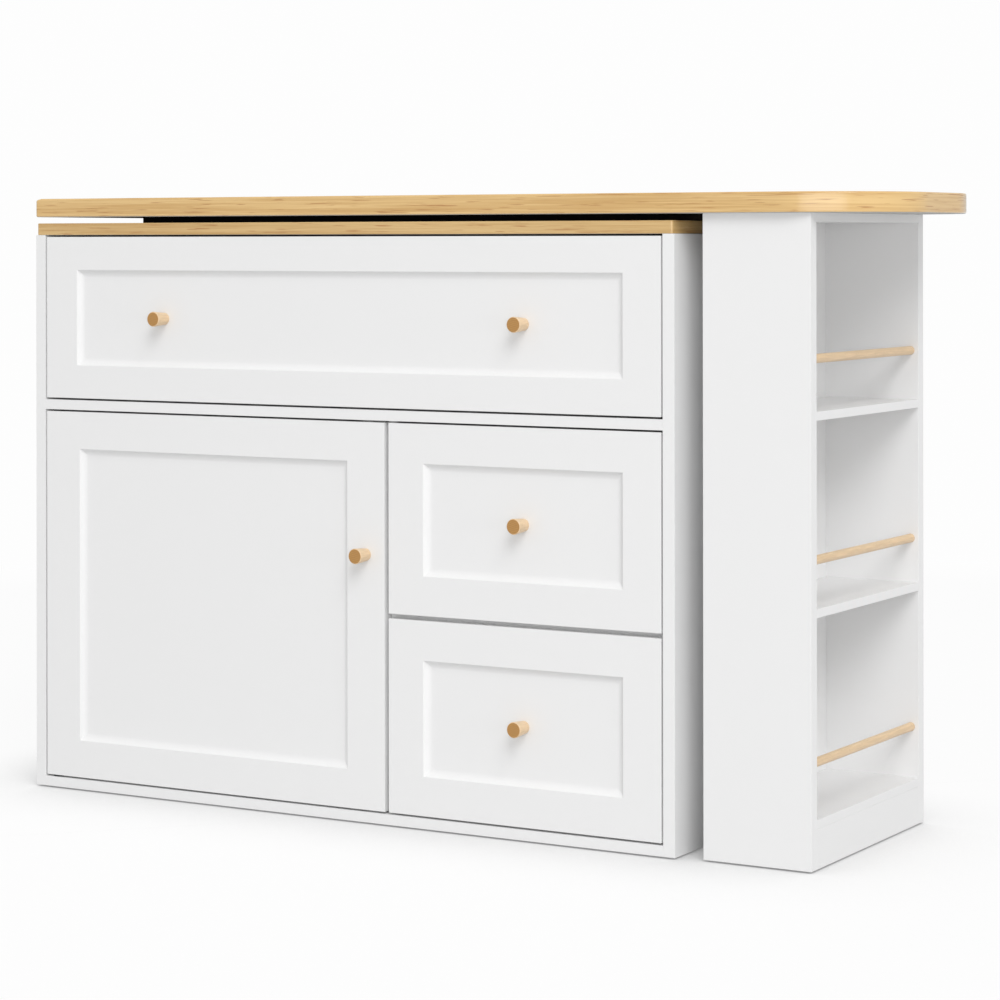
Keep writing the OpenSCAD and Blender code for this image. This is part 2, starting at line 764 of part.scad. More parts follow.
// a shouldered axle with a head outside each cheek
module wheel_axles() color(STEEL) for (y = wheel_ys) at_wheel(y) {
    half = cheek_in + bracket_t + still_fit;
    rod_x([-half, 0, 0], axle_r, 2 * half);
    for (x = [-half - axle_head_t, half]) rod_x([x, 0, 0], axle_head_r, axle_head_t);
}

// a nylon wheel with a dished face round each hub
module wheel() {
    difference() {
        rod_x([-wheel_w / 2, 0, 0], wheel_r, wheel_w);
        rod_x([-wheel_w / 2 - cut, 0, 0], axle_r + running_fit, wheel_w + 2 * cut);
        for (side = [0, 1]) mirror([side, 0, 0]) difference() {
            rod_x([wheel_w / 2 - wheel_dish, 0, 0], wheel_r - wheel_rim, wheel_dish + cut);
            rod_x([wheel_w / 2 - wheel_dish - cut, 0, 0], wheel_hub_r, wheel_dish + 3 * cut);
        }
    }
}

module front_wheel() color(NYLON) at_wheel(wheel_ys[0]) wheel();
module rear_wheel() color(NYLON) at_wheel(wheel_ys[1]) wheel();

// ---- door ----

module door_panel() color(WHITE) difference() {
    framed_front(DOOR_FRONT, door_stile_w, rail_w);
    for (z = [DOOR_FRONT[2] - cut, DOOR_FRONT[3] - pivot_pin_hold])
        translate([pivot_x, pivot_y, z])
            cylinder(r = pivot_pin_r + still_fit, h = pivot_pin_hold + cut);
}

module door_knob() color(WOOD) knob([DOOR_FRONT[1] - door_stile_w / 2, 0, door_knob_z]);

module door_pivot_pins() color(STEEL) {
    pin_len = pivot_pin_hold + reveal + bush_depth - bush_floor_t - pin_end_gap;
    for (z = [DOOR_FRONT[2] + pivot_pin_hold - pin_len, DOOR_FRONT[3] - pivot_pin_hold])
        translate([pivot_x, pivot_y, z]) cylinder(r = pivot_pin_r, h = pin_len);
}

module strike_plate() color(STEEL) {
    x = door_right - catch_inset - catch_w;
    board([x, front_t, DOOR_FRONT[3] - strike_h], [x + catch_w, front_t + strike_t, DOOR_FRONT[3]]);
}

// ---- the three drawers ----

module top_drawer_front() color(WHITE)
    drawer_front(TOP_FRONT, TOP_BAY, stile_w, top_front_rail_w);
module middle_drawer_front() color(WHITE)
    drawer_front(MIDDLE_FRONT, MIDDLE_BAY, stile_w, rail_w);
module lower_drawer_front() color(WHITE)
    drawer_front(LOWER_FRONT, LOWER_BAY, stile_w, rail_w);

// a knob at a distance from the middle of a front's sunk panel
module panel_knob(place, offset) color(WOOD)
    knob([(place[0] + place[1]) / 2 + offset, panel_sink, (place[2] + place[3]) / 2]);

module top_drawer_knobs() for (offset = [-knob_spread, knob_spread]) panel_knob(TOP_FRONT, offset);
module middle_drawer_knob() panel_knob(MIDDLE_FRONT, 0);
module lower_drawer_knob() panel_knob(LOWER_FRONT, 0);

module top_drawer_sides() color(WHITE) drawer_sides(TOP_BAY);
module middle_drawer_sides() color(WHITE) drawer_sides(MIDDLE_BAY);
module lower_drawer_sides() color(WHITE) drawer_sides(LOWER_BAY);
module top_drawer_back() color(WHITE) drawer_back(TOP_BAY);
module middle_drawer_back() color(WHITE) drawer_back(MIDDLE_BAY);
module lower_drawer_back() color(WHITE) drawer_back(LOWER_BAY);
module top_drawer_bottom() color(WHITE) drawer_bottom(TOP_BAY);
module middle_drawer_bottom() color(WHITE) drawer_bottom(MIDDLE_BAY);
module lower_drawer_bottom() color(WHITE) drawer_bottom(LOWER_BAY);
module top_runners_fixed() color(STEEL) runners_fixed(TOP_BAY);
module middle_runners_fixed() color(STEEL) runners_fixed(MIDDLE_BAY);
module lower_runners_fixed() color(STEEL) runners_fixed(LOWER_BAY);
module top_runners_sliding() color(STEEL) runners_sliding(TOP_BAY);
module middle_runners_sliding() color(STEEL) runners_sliding(MIDDLE_BAY);
module lower_runners_sliding() color(STEEL) runners_sliding(LOWER_BAY);
module top_runner_cages() color(STEEL) runner_cages(TOP_BAY);
module middle_runner_cages() color(STEEL) runner_cages(MIDDLE_BAY);
module lower_runner_cages() color(STEEL) runner_cages(LOWER_BAY);

// moves a piece from the cabinet's corner to the unit's own origin
module place() translate([-origin_x, -origin_y, 0]) children();

place() left_side_panel();
place() right_side_panel();
place() bottom_panel();
place() middle_panel();
place() centre_divider();
place() drawer_rail();
place() back_panel();
place() fixed_top();
place() floor_glides();
place() shelf();
place() shelf_pins();
place() pivot_bushes();
place() magnet_catch();
place() top_runners_fixed();
place() middle_runners_fixed();
place() lower_runners_fixed();
place() bearing_lower_plate();
place() bearing_balls();
place() worktop();
place() support_bars();
place() bearing_upper_plate();
place() tower_front_panel();
place() tower_back_panel();
place() tower_inner_panel();
place() tower_top_panel();
place() tower_upper_shelf();
place() tower_lower_shelf();
place() tower_base_shelf();
place() tower_plinth();
place() tower_rails();
place() wheel_brackets();
place() wheel_axles();
place() front_wheel();
place() rear_wheel();
place() door_panel();
place() door_knob();
place() door_pivot_pins();
place() strike_plate();
place() top_drawer_front();
place() top_drawer_knobs();
place() top_drawer_sides();
place() top_drawer_back();
place() top_drawer_bottom();
place() top_runners_sliding();
place() top_runner_cages();
place() middle_drawer_front();
place() middle_drawer_knob();
place() middle_drawer_sides();
place() middle_drawer_back();
place() middle_drawer_bottom();
place() middle_runners_sliding();
place() middle_runner_cages();
place() lower_drawer_front();
place() lower_drawer_knob();
place() lower_drawer_sides();
place() lower_drawer_back();
place() lower_drawer_bottom();
place() lower_runners_sliding();
place() lower_runner_cages();
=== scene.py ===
"""Finishes a kitchen island unit: a white cabinet with a swivelling oak worktop and a shelf tower.

Everything is in metres in the unit's own frame. X runs from the cabinet to the tower, the
fronts face -Y and Z is up. The solid boards come from the frame. This file rounds their edges,
adds the small hardware, gives every surface its finish, and sets up the light and the camera.
"""

import json
from math import atan2, cos, pi, radians, sin

import bmesh
import bpy
from mathutils import Matrix, Vector


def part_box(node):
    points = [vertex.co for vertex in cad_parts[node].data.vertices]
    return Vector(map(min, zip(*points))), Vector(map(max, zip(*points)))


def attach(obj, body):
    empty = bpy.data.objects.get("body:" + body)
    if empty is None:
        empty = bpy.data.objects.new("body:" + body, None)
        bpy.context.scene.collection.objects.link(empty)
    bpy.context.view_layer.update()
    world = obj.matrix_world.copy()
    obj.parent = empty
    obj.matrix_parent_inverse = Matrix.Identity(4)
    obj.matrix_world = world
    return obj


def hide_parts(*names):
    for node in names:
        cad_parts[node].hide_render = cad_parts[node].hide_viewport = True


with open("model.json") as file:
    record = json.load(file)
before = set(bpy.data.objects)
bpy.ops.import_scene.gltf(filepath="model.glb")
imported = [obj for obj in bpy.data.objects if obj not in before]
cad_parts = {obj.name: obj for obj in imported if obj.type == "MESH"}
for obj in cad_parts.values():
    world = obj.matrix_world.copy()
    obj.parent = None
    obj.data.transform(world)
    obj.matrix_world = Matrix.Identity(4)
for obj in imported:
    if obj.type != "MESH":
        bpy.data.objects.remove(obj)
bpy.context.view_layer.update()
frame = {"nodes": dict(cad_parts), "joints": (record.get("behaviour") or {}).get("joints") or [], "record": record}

bl_info = {
    "name": "Kitchen Island with Swivelling Worktop",
    "version": (1, 0, 0),
    "blender": (4, 5, 0),
    "location": "3D View > Sidebar > Island",
    "description": "Builds the finishes, rounded boards, hardware and studio of a kitchen island",
    "category": "Object",
}

MM = 0.001
DRAWERS = ("top", "middle", "lower")
TOWER_BOARDS = (
    "tower_front_panel",
    "tower_back_panel",
    "tower_inner_panel",
    "tower_top_panel",
    "tower_upper_shelf",
    "tower_lower_shelf",
    "tower_base_shelf",
    "tower_plinth",
)
CABINET_BOARDS = (
    "left_side_panel",
    "right_side_panel",
    "bottom_panel",
    "middle_panel",
    "centre_divider",
    "drawer_rail",
    "shelf",
)
PLAIN_WHITE = 0.985  # strength of the plain white that the camera sees behind the unit
CAMERA_PLACE = (2.20433, -3.625, 0.8363)
CAMERA_YAW = 29.0385  # degrees to the left of straight back
CAMERA_ROLL = -0.0731  # degrees
CAMERA_SHIFT = (-0.1075, -0.2602)  # shares of the frame's width
# Each lamp: name, power setting, place, target, width, height, shape, seen in reflections
SOFT_BOXES = (
    ("Key soft box", "key", (12.7, -14.25, 16.75), (0.2, 0.0, 0.5), 12.5, 14.0, "RECTANGLE", True),
    ("Strip soft box", "strip", (2.3, -4.6, 0.95), (0.5, 0.0, 0.85), 4.6, 0.6, "ELLIPSE", True),
    ("Side soft box", "side", (7.0, -2.0, 0.75), (0.3, 0.0, 0.5), 4.0, 1.3, "RECTANGLE", False),
)


# ---------------------------------------------------------------- settings


def colour_setting(name, description, default):
    return bpy.props.FloatVectorProperty(
        name=name, description=description, subtype="COLOR", size=3, min=0, max=1, default=default)


def length_setting(name, description, low, high, default, precision=5):
    return bpy.props.FloatProperty(
        name=name, description=description, unit="LENGTH", min=low, max=high, default=default,
        precision=precision)


def power_setting(name, description, high, default):
    return bpy.props.FloatProperty(
        name=name, description=description, unit="POWER", min=0, max=high, default=default)


class IslandPaint(bpy.types.PropertyGroup):
    """Colours of the painted boards and fronts"""

    front: colour_setting(
        "Fronts", "Paint on the drawer fronts, the door and the boards", (0.862, 0.862, 0.862))
    box: colour_setting(
        "Drawer boxes", "Foil on the boards of the drawer boxes", (0.80, 0.795, 0.775))
    roughness: bpy.props.FloatProperty(
        name="Roughness", description="Roughness of the satin paint",
        subtype="FACTOR", min=0, max=1, default=0.42)
    peel: length_setting(
        "Spray texture", "Depth of the fine texture that spraying leaves", 0, 0.0005, 0.00004, 6)


class IslandWood(bpy.types.PropertyGroup):
    """Colours and cut of the wooden tops, knobs and rails"""

    pale: colour_setting("Early wood", "Pale wood of the two tops", (0.80, 0.55, 0.245))
    deep: colour_setting("Late wood", "Darker wood of the two tops", (0.63, 0.385, 0.142))
    turned: colour_setting("Turned wood", "Side grain of the knobs and rails", (0.80, 0.585, 0.36))
    end_grain: colour_setting("End grain", "End grain of the knobs", (0.48, 0.25, 0.073))
    stave: length_setting(
        "Stave width", "Width of the staves that the tops are glued from", 0.04, 0.2, 0.09, 2)


class IslandHardware(bpy.types.PropertyGroup):
    """Colours of the metal and plastic pieces"""

    zinc: colour_setting(
        "Zinc plate", "Plated steel of the runners, bearing and screws", (0.60, 0.61, 0.63))
    # Kept near zero, darker than a real coat: the bars' own black plus painted shade of the gap under the worktop
    black: colour_setting(
        "Black coat and gap shade", "Coating of the steel bars under the worktop", (0.0015, 0.001, 0.001))
    nylon: colour_setting("Nylon", "Moulded glides, catch and wheels", (0.66, 0.66, 0.64))
    tread: colour_setting("Wheel tread", "Soft tread of the tower's wheels", (0.16, 0.16, 0.165))


class IslandEdges(bpy.types.PropertyGroup):
    """Rounding of the edges"""

    front: length_setting(
        "Fronts", "Radius of the edges of the fronts and the door", 0, 0.003, 0.0009)
    board: length_setting("Boards", "Radius of the edges of the painted boards", 0, 0.003, 0.0004)
    top: length_setting("Tops", "Radius of the edges of the two wooden tops", 0, 0.006, 0.0024)
    knob: length_setting("Knobs", "Radius of the rim at the end of a knob", 0, 0.003, 0.0016)


class IslandStage(bpy.types.PropertyGroup):
    """Light and camera"""

    sky: bpy.props.FloatProperty(
        name="Room light", description="Strength of the even light of the room",
        min=0, max=3, default=0.645)
    key: power_setting(
        "Key light", "Power of the wide soft box above and right of the camera", 9000, 2800)
    strip: power_setting(
        "Strip light", "Power of the low soft box that glints on the wood", 500, 27)
    side: power_setting(
        "Side light", "Power of the weak soft box on the tower's side", 500, 30)
    lens: bpy.props.FloatProperty(
        name="Lens", description="Focal length of the camera",
        min=20, max=300, default=103.7, unit="CAMERA")


SETTINGS = {
    "island_paint": IslandPaint,
    "island_wood": IslandWood,
    "island_hardware": IslandHardware,
    "island_edges": IslandEdges,
    "island_stage": IslandStage,
}


# ---------------------------------------------------------------- finishes


def operation(kind):
    """A method that adds one Math node, for a socket and the terms after it."""
    def method(self, *others):
        return self.math(kind, self, *others)
    return method


class Value:
    """A shader socket that takes part in sums. Each operation adds its own Math node."""

    def __init__(self, finish, socket):
        self.finish = finish
        self.socket = socket

    def math(self, kind, *terms):
        return self.finish.node("ShaderNodeMath", {"operation": kind}, dict(enumerate(terms)))

    def __rsub__(self, other):
        return self.math("SUBTRACT", other, self)

    __add__ = __radd__ = operation("ADD")
    __mul__ = __rmul__ = operation("MULTIPLY")
    __sub__ = operation("SUBTRACT")
    __truediv__ = operation("DIVIDE")
    __gt__ = operation("GREATER_THAN")
    __abs__ = operation("ABSOLUTE")
    floor = operation("FLOOR")
    fraction = operation("FRACT")
    sine = operation("SINE")
    greater = operation("MAXIMUM")

    def between(self, low, high):
        """0 below low, 1 above high, and a smooth step from one to the other."""
        return self.finish.node(
            "ShaderNodeMapRange", {"interpolation_type": "SMOOTHSTEP"},
            {"Value": self, "From Min": low, "From Max": high})


class Finish:
    """A material whose nodes are made one call at a time."""

    def __init__(self, name, **constants):
        self.material = bpy.data.materials.new(name)
        self.material.use_nodes = True
        self.tree = self.material.node_tree
        self.surface = self.tree.nodes["Principled BSDF"]
        self.where = self.node("ShaderNodeTexCoord", output="Object")
        for socket, value in constants.items():
            self.surface.inputs[socket.replace("_", " ")].default_value = value

    def node(self, kind, settings=None, inputs=None, output=0):
        """Adds a node, sets it up, feeds its sockets and returns one of its outputs."""
        node = self.tree.nodes.new(kind)
        for name, value in (settings or {}).items():
            setattr(node, name, value)
        for name, value in (inputs or {}).items():
            self.feed(node.inputs[name], value)
        return Value(self, node.outputs[output])

    def feed(self, socket, value):
        if isinstance(value, Value):
            self.tree.links.new(value.socket, socket)
        else:
            socket.default_value = value

    def axis(self, name):
        """One of the Object coordinates."""
        return self.node("ShaderNodeSeparateXYZ", None, {"Vector": self.where}, output=name)

    def stretched(self, scale, offset=(0, 0, 0)):
        """Object coordinates, scaled per axis."""
        return self.node(
            "ShaderNodeMapping", None,
            {"Vector": self.where, "Scale": scale, "Location": offset})

    def noise(self, scale, detail=3.0, roughness=0.55, vector=None, distortion=0.0):
        return self.node(
            "ShaderNodeTexNoise", None,
            {"Vector": vector or self.where, "Scale": scale, "Detail": detail,
             "Roughness": roughness, "Distortion": distortion})

    def streaks(self, scale, detail, offset=(0, 0, 0)):
        """Noise drawn out along an axis."""
        return self.noise(1.0, detail, vector=self.stretched(scale, offset))

    def colour(self, mask, first, second):
        """first where the mask is 0, second where it is 1."""
        def full(tone):
            return tone if isinstance(tone, Value) else (*tone, 1.0)
        return self.node(
            "ShaderNodeMix", {"data_type": "RGBA"},
            {0: mask, 6: full(first), 7: full(second)}, output=2)

    def relief(self, height, depth, strength=1.0):
        """Bumps of a real depth in metres."""
        bump = self.node(
            "ShaderNodeBump", None,
            {"Height": height, "Distance": depth, "Strength": strength}, output="Normal")
        self.feed(self.surface.inputs["Normal"], bump)

    def set(self, **links):
        for socket, value in links.items():
            self.feed(self.surface.inputs[socket.replace("_", " ")], value)


def tint(colour, factor):
    """The colour, lighter or darker."""
    return tuple(min(1.0, channel * factor) for channel in colour)


def paint_finish(name, colour, roughness, peel, grain=0.0):
    """Satin paint: the fine peel of spraying, faint cloudiness, and a trace of fibre under it."""
    finish = Finish(name, IOR=1.46)
    peel_height = finish.noise(900.0, detail=2.0)
    cloud = finish.noise(3.0, detail=4.0)
    fibre = finish.streaks((60.0, 420.0, 420.0), 3.0)
    shade = (cloud - 0.5) * 0.022 + (fibre - 0.5) * grain + 0.5
    finish.relief(peel_height + fibre * grain, peel)
    finish.set(
        Base_Color=finish.colour(shade, tint(colour, 0.985), tint(colour, 1.015)),
        Roughness=(cloud - 0.5) * 0.10 + (peel_height - 0.5) * 0.08 + roughness)


def oak_finish(name, wood, seed):
    """Lacquered oak staves along X, each with its own tone, figure, pores and glue line."""
    finish = Finish(name, IOR=1.5)
    parts = {axis: finish.axis(axis) for axis in "XYZ"}
    place = parts["Y"] / wood.stave + 40.5 + seed
    number = place.floor()
    chance = finish.node("ShaderNodeTexWhiteNoise", {"noise_dimensions": "1D"}, {"W": number})
    glue = abs(place.fraction() - 0.5) > 0.4965
    moved = finish.node("ShaderNodeCombineXYZ", None, {
        "X": parts["X"] + chance * 17.0,
        "Y": parts["Y"] + chance * 5.0,
        "Z": parts["Z"] + chance * 3.0})

    def grain(scale, detail, distortion=0.0):
        vector = finish.node("ShaderNodeMapping", None, {"Vector": moved, "Scale": scale})
        return finish.noise(1.0, detail, vector=vector, distortion=distortion)

    figure = grain((1.1, 11.0, 15.0), 2.0, 0.35)
    rings = (figure * 55.0).sine() * 0.5 + 0.5
    streaks = grain((6.0, 190.0, 190.0), 4.0)
    fine = grain((22.0, 900.0, 900.0), 2.0)
    pores = grain((34.0, 520.0, 520.0), 1.0).between(0.66, 0.74)
    flecks = grain((9.0, 150.0, 210.0), 2.0).between(0.67, 0.76)
    depth = (rings * 0.20 + streaks * 0.75 + fine * 0.25 + (chance - 0.5) * 0.26
             + pores * 0.22 + flecks * 0.75 - 0.27)
    shade = finish.colour(depth.between(0.0, 1.0), wood.pale, wood.deep)
    finish.relief(1.0 - pores - glue * 0.6 - streaks * 0.25, 0.00008, 0.6)
    finish.set(
        Base_Color=finish.colour(glue * 0.45, shade, tint(wood.deep, 0.6)),
        Roughness=streaks * 0.10 + pores * 0.18 + 0.30)


def fleck_tone(colour):
    """The darker, redder brown of a fleck in a wood."""
    return colour[0] * 0.68, colour[1] * 0.48, colour[2] * 0.4


def edging_finish(name, wood, seed, level=1.0):
    """Lacquered oak edging, lighter or darker by a level: even grain with short dark dashes."""
    finish = Finish(name, IOR=1.5, Specular_IOR_Level=0.1, Coat_Weight=1.0, Coat_Roughness=0.17)

    def grain(along, up, detail, offset):
        return finish.streaks((along, along, up), detail, (seed + offset, offset, 0.0))

    bands = grain(1.6, 70.0, 1.0, 0.0)
    streaks = grain(4.5, 330.0, 2.0, 3.1)
    fine = grain(15.0, 950.0, 2.0, 5.7)
    dashes = grain(20.0, 560.0, 1.0, 9.2).between(0.63, 0.71)
    shade = (streaks - 0.5) * 1.7 + (bands - 0.5) * 1.1 + (fine - 0.5) * 0.9 + 0.54
    finish.relief(1.0 - dashes * 0.7 + (streaks - 0.5) * 0.5, 0.00006, 0.6)
    tone = finish.colour(shade.between(0.0, 1.0), tint(wood.deep, level), tint(wood.pale, level))
    finish.set(
        Base_Color=finish.colour(dashes * 0.70, tone, fleck_tone(wood.deep)),
        Roughness=streaks * 0.12 + dashes * 0.15 + 0.28)


def turned_finish(name, colour):
    """Turned beech with its grain along Y, fine flecks and faint lathe lines."""
    finish = Finish(name, IOR=1.5)
    streaks = finish.streaks((420.0, 22.0, 420.0), 4.0)
    flecks = finish.streaks((900.0, 160.0, 900.0), 1.0)
    flecks = flecks.between(0.64, 0.72)
    lathe = finish.streaks((8.0, 2600.0, 8.0), 1.0)
    finish.relief(1.0 - flecks * 0.6 + lathe * 0.3, 0.00005, 0.5)
    shade = finish.colour(streaks.between(0.25, 0.75), tint(colour, 1.06), tint(colour, 0.88))
    finish.set(
        Base_Color=finish.colour(flecks * 0.30, shade, tint(colour, 0.62)),
        Roughness=streaks * 0.12 + 0.32)


def end_grain_finish(name, colour):
    """The end of a turned piece: growth rings as flat arcs, crossed by rays and pores."""
    finish = Finish(name, IOR=1.5)
    bend = finish.noise(60.0, detail=2.0)
    height, across = (finish.axis(axis) for axis in "ZX")
    rings = ((height * 2400.0 + across * 500.0 + bend * 7.0).sine()) * 0.5 + 0.5
    pores = finish.noise(2400.0, detail=1.0).between(0.52, 0.66)
    finish.relief(1.0 - pores * 0.5, 0.00004, 0.6)
    shade = finish.colour(rings, tint(colour, 1.10), tint(colour, 0.86))
    finish.set(
        Base_Color=finish.colour(pores * 0.35, shade, tint(colour, 0.55)),
        Roughness=rings * 0.08 + 0.42)


def zinc_finish(name, colour):
    """Bright zinc plate: rolled lines, faint crystal patches and handling marks."""
    finish = Finish(name, Metallic=1.0)
    patch = finish.node("ShaderNodeTexVoronoi", {"feature": "F1"},
                        {"Vector": finish.where, "Scale": 240.0, "Randomness": 1.0},
                        output="Distance")
    lines = finish.streaks((1400.0, 24.0, 1400.0), 3.0)
    smears = finish.noise(18.0, detail=4.0)
    finish.relief(lines * 0.6 + patch * 0.4, 0.00003, 0.5)
    finish.set(
        Base_Color=finish.colour((patch * 0.5 + smears * 0.5).between(0.2, 0.8),
                                 tint(colour, 0.90), tint(colour, 1.08)),
        Roughness=lines * 0.14 + smears * 0.14 + 0.20)


def coat_finish(name, colour):
    """Black powder coat: an even fine pebble with a dull sheen."""
    finish = Finish(name, IOR=1.4, Specular_IOR_Level=0.2)
    pebble = finish.node("ShaderNodeTexVoronoi", {"feature": "SMOOTH_F1"},
                         {"Vector": finish.where, "Scale": 1500.0}, output="Distance")
    cloud = finish.noise(30.0)
    finish.relief(pebble, 0.00005, 0.8)
    finish.set(
        Base_Color=finish.colour(cloud, tint(colour, 0.8), tint(colour, 1.3)),
        Roughness=cloud * 0.10 + pebble * 0.10 + 0.58)


def moulded_finish(name, colour, roughness, sparkle):
    """Moulded plastic or rubber: a fine spark-eroded texture and faint flow clouds."""
    finish = Finish(name, IOR=1.5)
    spark = finish.noise(sparkle, detail=2.0, roughness=0.7)
    flow = finish.noise(14.0, detail=3.0, distortion=0.6)
    finish.relief(spark, 0.00005, 0.6)
    finish.set(
        Base_Color=finish.colour(flow, tint(colour, 0.93), tint(colour, 1.05)),
        Roughness=spark * 0.15 + roughness)


# ---------------------------------------------------------------- shared shapes


def finish_named(name):
    """The finish that the first operator made."""
    material = bpy.data.materials.get(name)
    if material is None:
        raise RuntimeError("Make the finishes first: " + name + " is missing")
    return material


def add_piece(name, bm, body, finishes, stands_for=(), sharp=35):
    """Makes a bmesh a smooth-shaded piece that rides on a body."""
    mesh = bpy.data.meshes.new(name)
    bm.to_mesh(mesh)
    bm.free()
    for finish in finishes:
        mesh.materials.append(finish_named(finish))
    mesh.shade_smooth()
    mesh.set_sharp_from_angle(angle=radians(sharp))
    piece = bpy.data.objects.new(name, mesh)
    bpy.context.scene.collection.objects.link(piece)
    flat = piece.modifiers.new("Flat faces", "WEIGHTED_NORMAL")
    flat.weight = 100
    flat.keep_sharp = True
    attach(piece, body)
    if stands_for:
        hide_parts(*stands_for)
    return piece


def merged_copy(node):
    """A bmesh of a frame node with its triangles joined into whole faces."""
    bm = bmesh.new()
    bm.from_mesh(frame["nodes"][node].data)
    bmesh.ops.remove_doubles(bm, verts=bm.verts, dist=2e-6)
    bmesh.ops.dissolve_limit(bm, angle_limit=radians(0.5), verts=bm.verts, edges=bm.edges)
    bm.normal_update()
    return bm


def round_edges(bm, radius, segments, turn=60):
    """Rounds every outer edge that turns by more than an angle in degrees."""
    edges = [edge for edge in bm.edges
             if edge.is_manifold and edge.is_convex and edge.calc_face_angle() > radians(turn)]
    bmesh.ops.bevel(bm, geom=edges, offset=radius, offset_type="OFFSET", affect="EDGES",
                    segments=segments, profile=0.5, material=-1, clamp_overlap=True)
    bm.normal_update()


def rounded_node(node, body, radius, segments, finish):
    """Stands in for a frame node with a copy whose edges are rounded."""
    bm = merged_copy(node)
    round_edges(bm, radius, segments)
    return add_piece(node + "_rounded", bm, body, [finish], (node,))


def paint_node(node, finish):
    """Gives a frame node its finish."""
    materials = frame["nodes"][node].data.materials
    materials.clear()
    materials.append(finish_named(finish))


def corners(node):
    """The low and the high corner of a frame node's box."""
    return [Vector(corner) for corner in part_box(node)]


def centre_of(node):
    return sum(corners(node), Vector()) / 2


def levels_of(node, axis):
    """The places along an axis, in order, at which a frame node has vertices."""
    return sorted({round(vert.co[axis], 5) for vert in frame["nodes"][node].data.vertices})


def facing(point, direction, turn=0.0):
    """A matrix that carries a shape standing on the XY plane to a point, facing a direction."""
    rotation = Vector((0, 0, 1)).rotation_difference(Vector(direction)).to_matrix().to_4x4()
    return Matrix.Translation(point) @ rotation @ Matrix.Rotation(turn, 4, "Z")


def turned_shape(profile, steps):
    """A closed solid of revolution about Z from (radius, height) pairs that start and end on it."""
    bm = bmesh.new()
    verts = [bm.verts.new((radius, 0, height)) for radius, height in profile]
    edges = [bm.edges.new(pair) for pair in zip(verts, verts[1:])]
    bmesh.ops.spin(bm, geom=verts + edges, cent=(0, 0, 0), axis=(0, 0, 1), dvec=(0, 0, 0),
                   angle=2 * pi, steps=steps, use_merge=True, use_duplicate=False)
    bmesh.ops.remove_doubles(bm, verts=bm.verts, dist=1e-7)
    bmesh.ops.recalc_face_normals(bm, faces=bm.faces)
    return bm


def ring_shape(profile, steps):
    """A closed ring about Z from a loop of (radius, height) pairs that never meets the axis."""
    return turned_shape(list(profile) + [profile[0]], steps)


def arc(centre, radius, start, end, steps):
    """Points of an arc in a profile, with its angles in degrees."""
    return [(centre[0] + radius * cos(radians(start + (end - start) * i / steps)),
             centre[1] + radius * sin(radians(start + (end - start) * i / steps)))
            for i in range(steps + 1)]


def add_copies(target, shape, matrices):
    """Adds copies of a shape to a bmesh, then frees the shape."""
    mesh = bpy.data.meshes.new("copy")
    shape.to_mesh(mesh)
    shape.free()
    for matrix in matrices:
        known = set(target.verts)
        target.from_mesh(mesh)
        bmesh.ops.transform(target, matrix=matrix,
                            verts=[vert for vert in target.verts if vert not in known])
    bpy.data.meshes.remove(mesh)


def block(bm, low, high, radius):
    """Adds a block between two corners, with rounded edges."""
    low, high = Vector(low), Vector(high)
    part = bmesh.new()
    bmesh.ops.create_cube(part, size=1.0, matrix=Matrix.Translation((low + high) / 2)
                          @ Matrix.Diagonal((*(high - low), 1.0)))
    round_edges(part, radius, 2)
    add_copies(bm, part, [Matrix()])


def add_row(name, body, shape, matrices, finishes, stands_for=(), sharp=35):
    """One piece of like shapes, with a copy at each matrix."""
    bm = bmesh.new()
    add_copies(bm, shape, matrices)
    add_piece(name, bm, body, finishes, stands_for, sharp)


def grow_rim(bm, edges):
    """Extrudes a rim, and returns the vertices and the edges of the new one."""
    grown = bmesh.ops.extrude_edge_only(bm, edges=edges)["geom"]
    return ([item for item in grown if isinstance(item, bmesh.types.BMVert)],
            [item for item in grown if isinstance(item, bmesh.types.BMEdge)])


def screw_shape(radius, height):
    """A pan-head screw, seen from outside: a domed head with a cross recess, standing on Z = 0."""
    dome = [(1.0, 0.35), (0.93, 0.65), (0.78, 0.88), (0.58, 1.0)]  # shares of radius and height
    recess = [(1.0, 1.0), (0.5, 0.62)]  # share of the height, and size of the cross there
    arm_reach, arm_half_width = 0.52, 0.13  # of the cross, in shares of the radius
    bm = bmesh.new()
    bmesh.ops.create_circle(bm, cap_ends=False, segments=24, radius=radius)
    edges = bm.edges[:]
    wide = 1.0
    for scale, level in dome:
        rim, edges = grow_rim(bm, edges)
        bmesh.ops.scale(bm, vec=(scale / wide, scale / wide, 1.0), verts=rim)
        for vert in rim:
            vert.co.z = level * height
        wide = scale
    for level, taper in recess:
        rim, edges = grow_rim(bm, edges)
        for vert in rim:
            turn = atan2(vert.co.y, vert.co.x)
            arm = abs((turn + pi / 4) % (pi / 2) - pi / 4)
            reach = min(arm_reach, arm_half_width / max(sin(arm), 0.01)) * radius * taper
            vert.co = (reach * cos(turn), reach * sin(turn), level * height)
    bmesh.ops.contextual_create(bm, geom=edges)
    bmesh.ops.recalc_face_normals(bm, faces=bm.faces)
    return bm


def add_screws(name, body, places, radius, height, finish="Zinc plate"):
    """One piece of like screws: places are (point, direction, turn)."""
    add_row(name, body, screw_shape(radius, height), [facing(*place) for place in places],
            [finish])


def add_caps(name, body, places, radius):
    """Flat press-in caps over the joints of boards: places are (point, direction)."""
    cap = turned_shape([(0, 0.7 * MM), (radius - 1.2 * MM, 0.7 * MM)]
                       + arc((radius - 1.2 * MM, 0.1 * MM), 0.6 * MM, 90, 20, 4)
                       + [(radius, 0), (0, 0)], 32)
    add_row(name, body, cap, [facing(*place) for place in places], ["White paint"])


# ---------------------------------------------------------------- operators


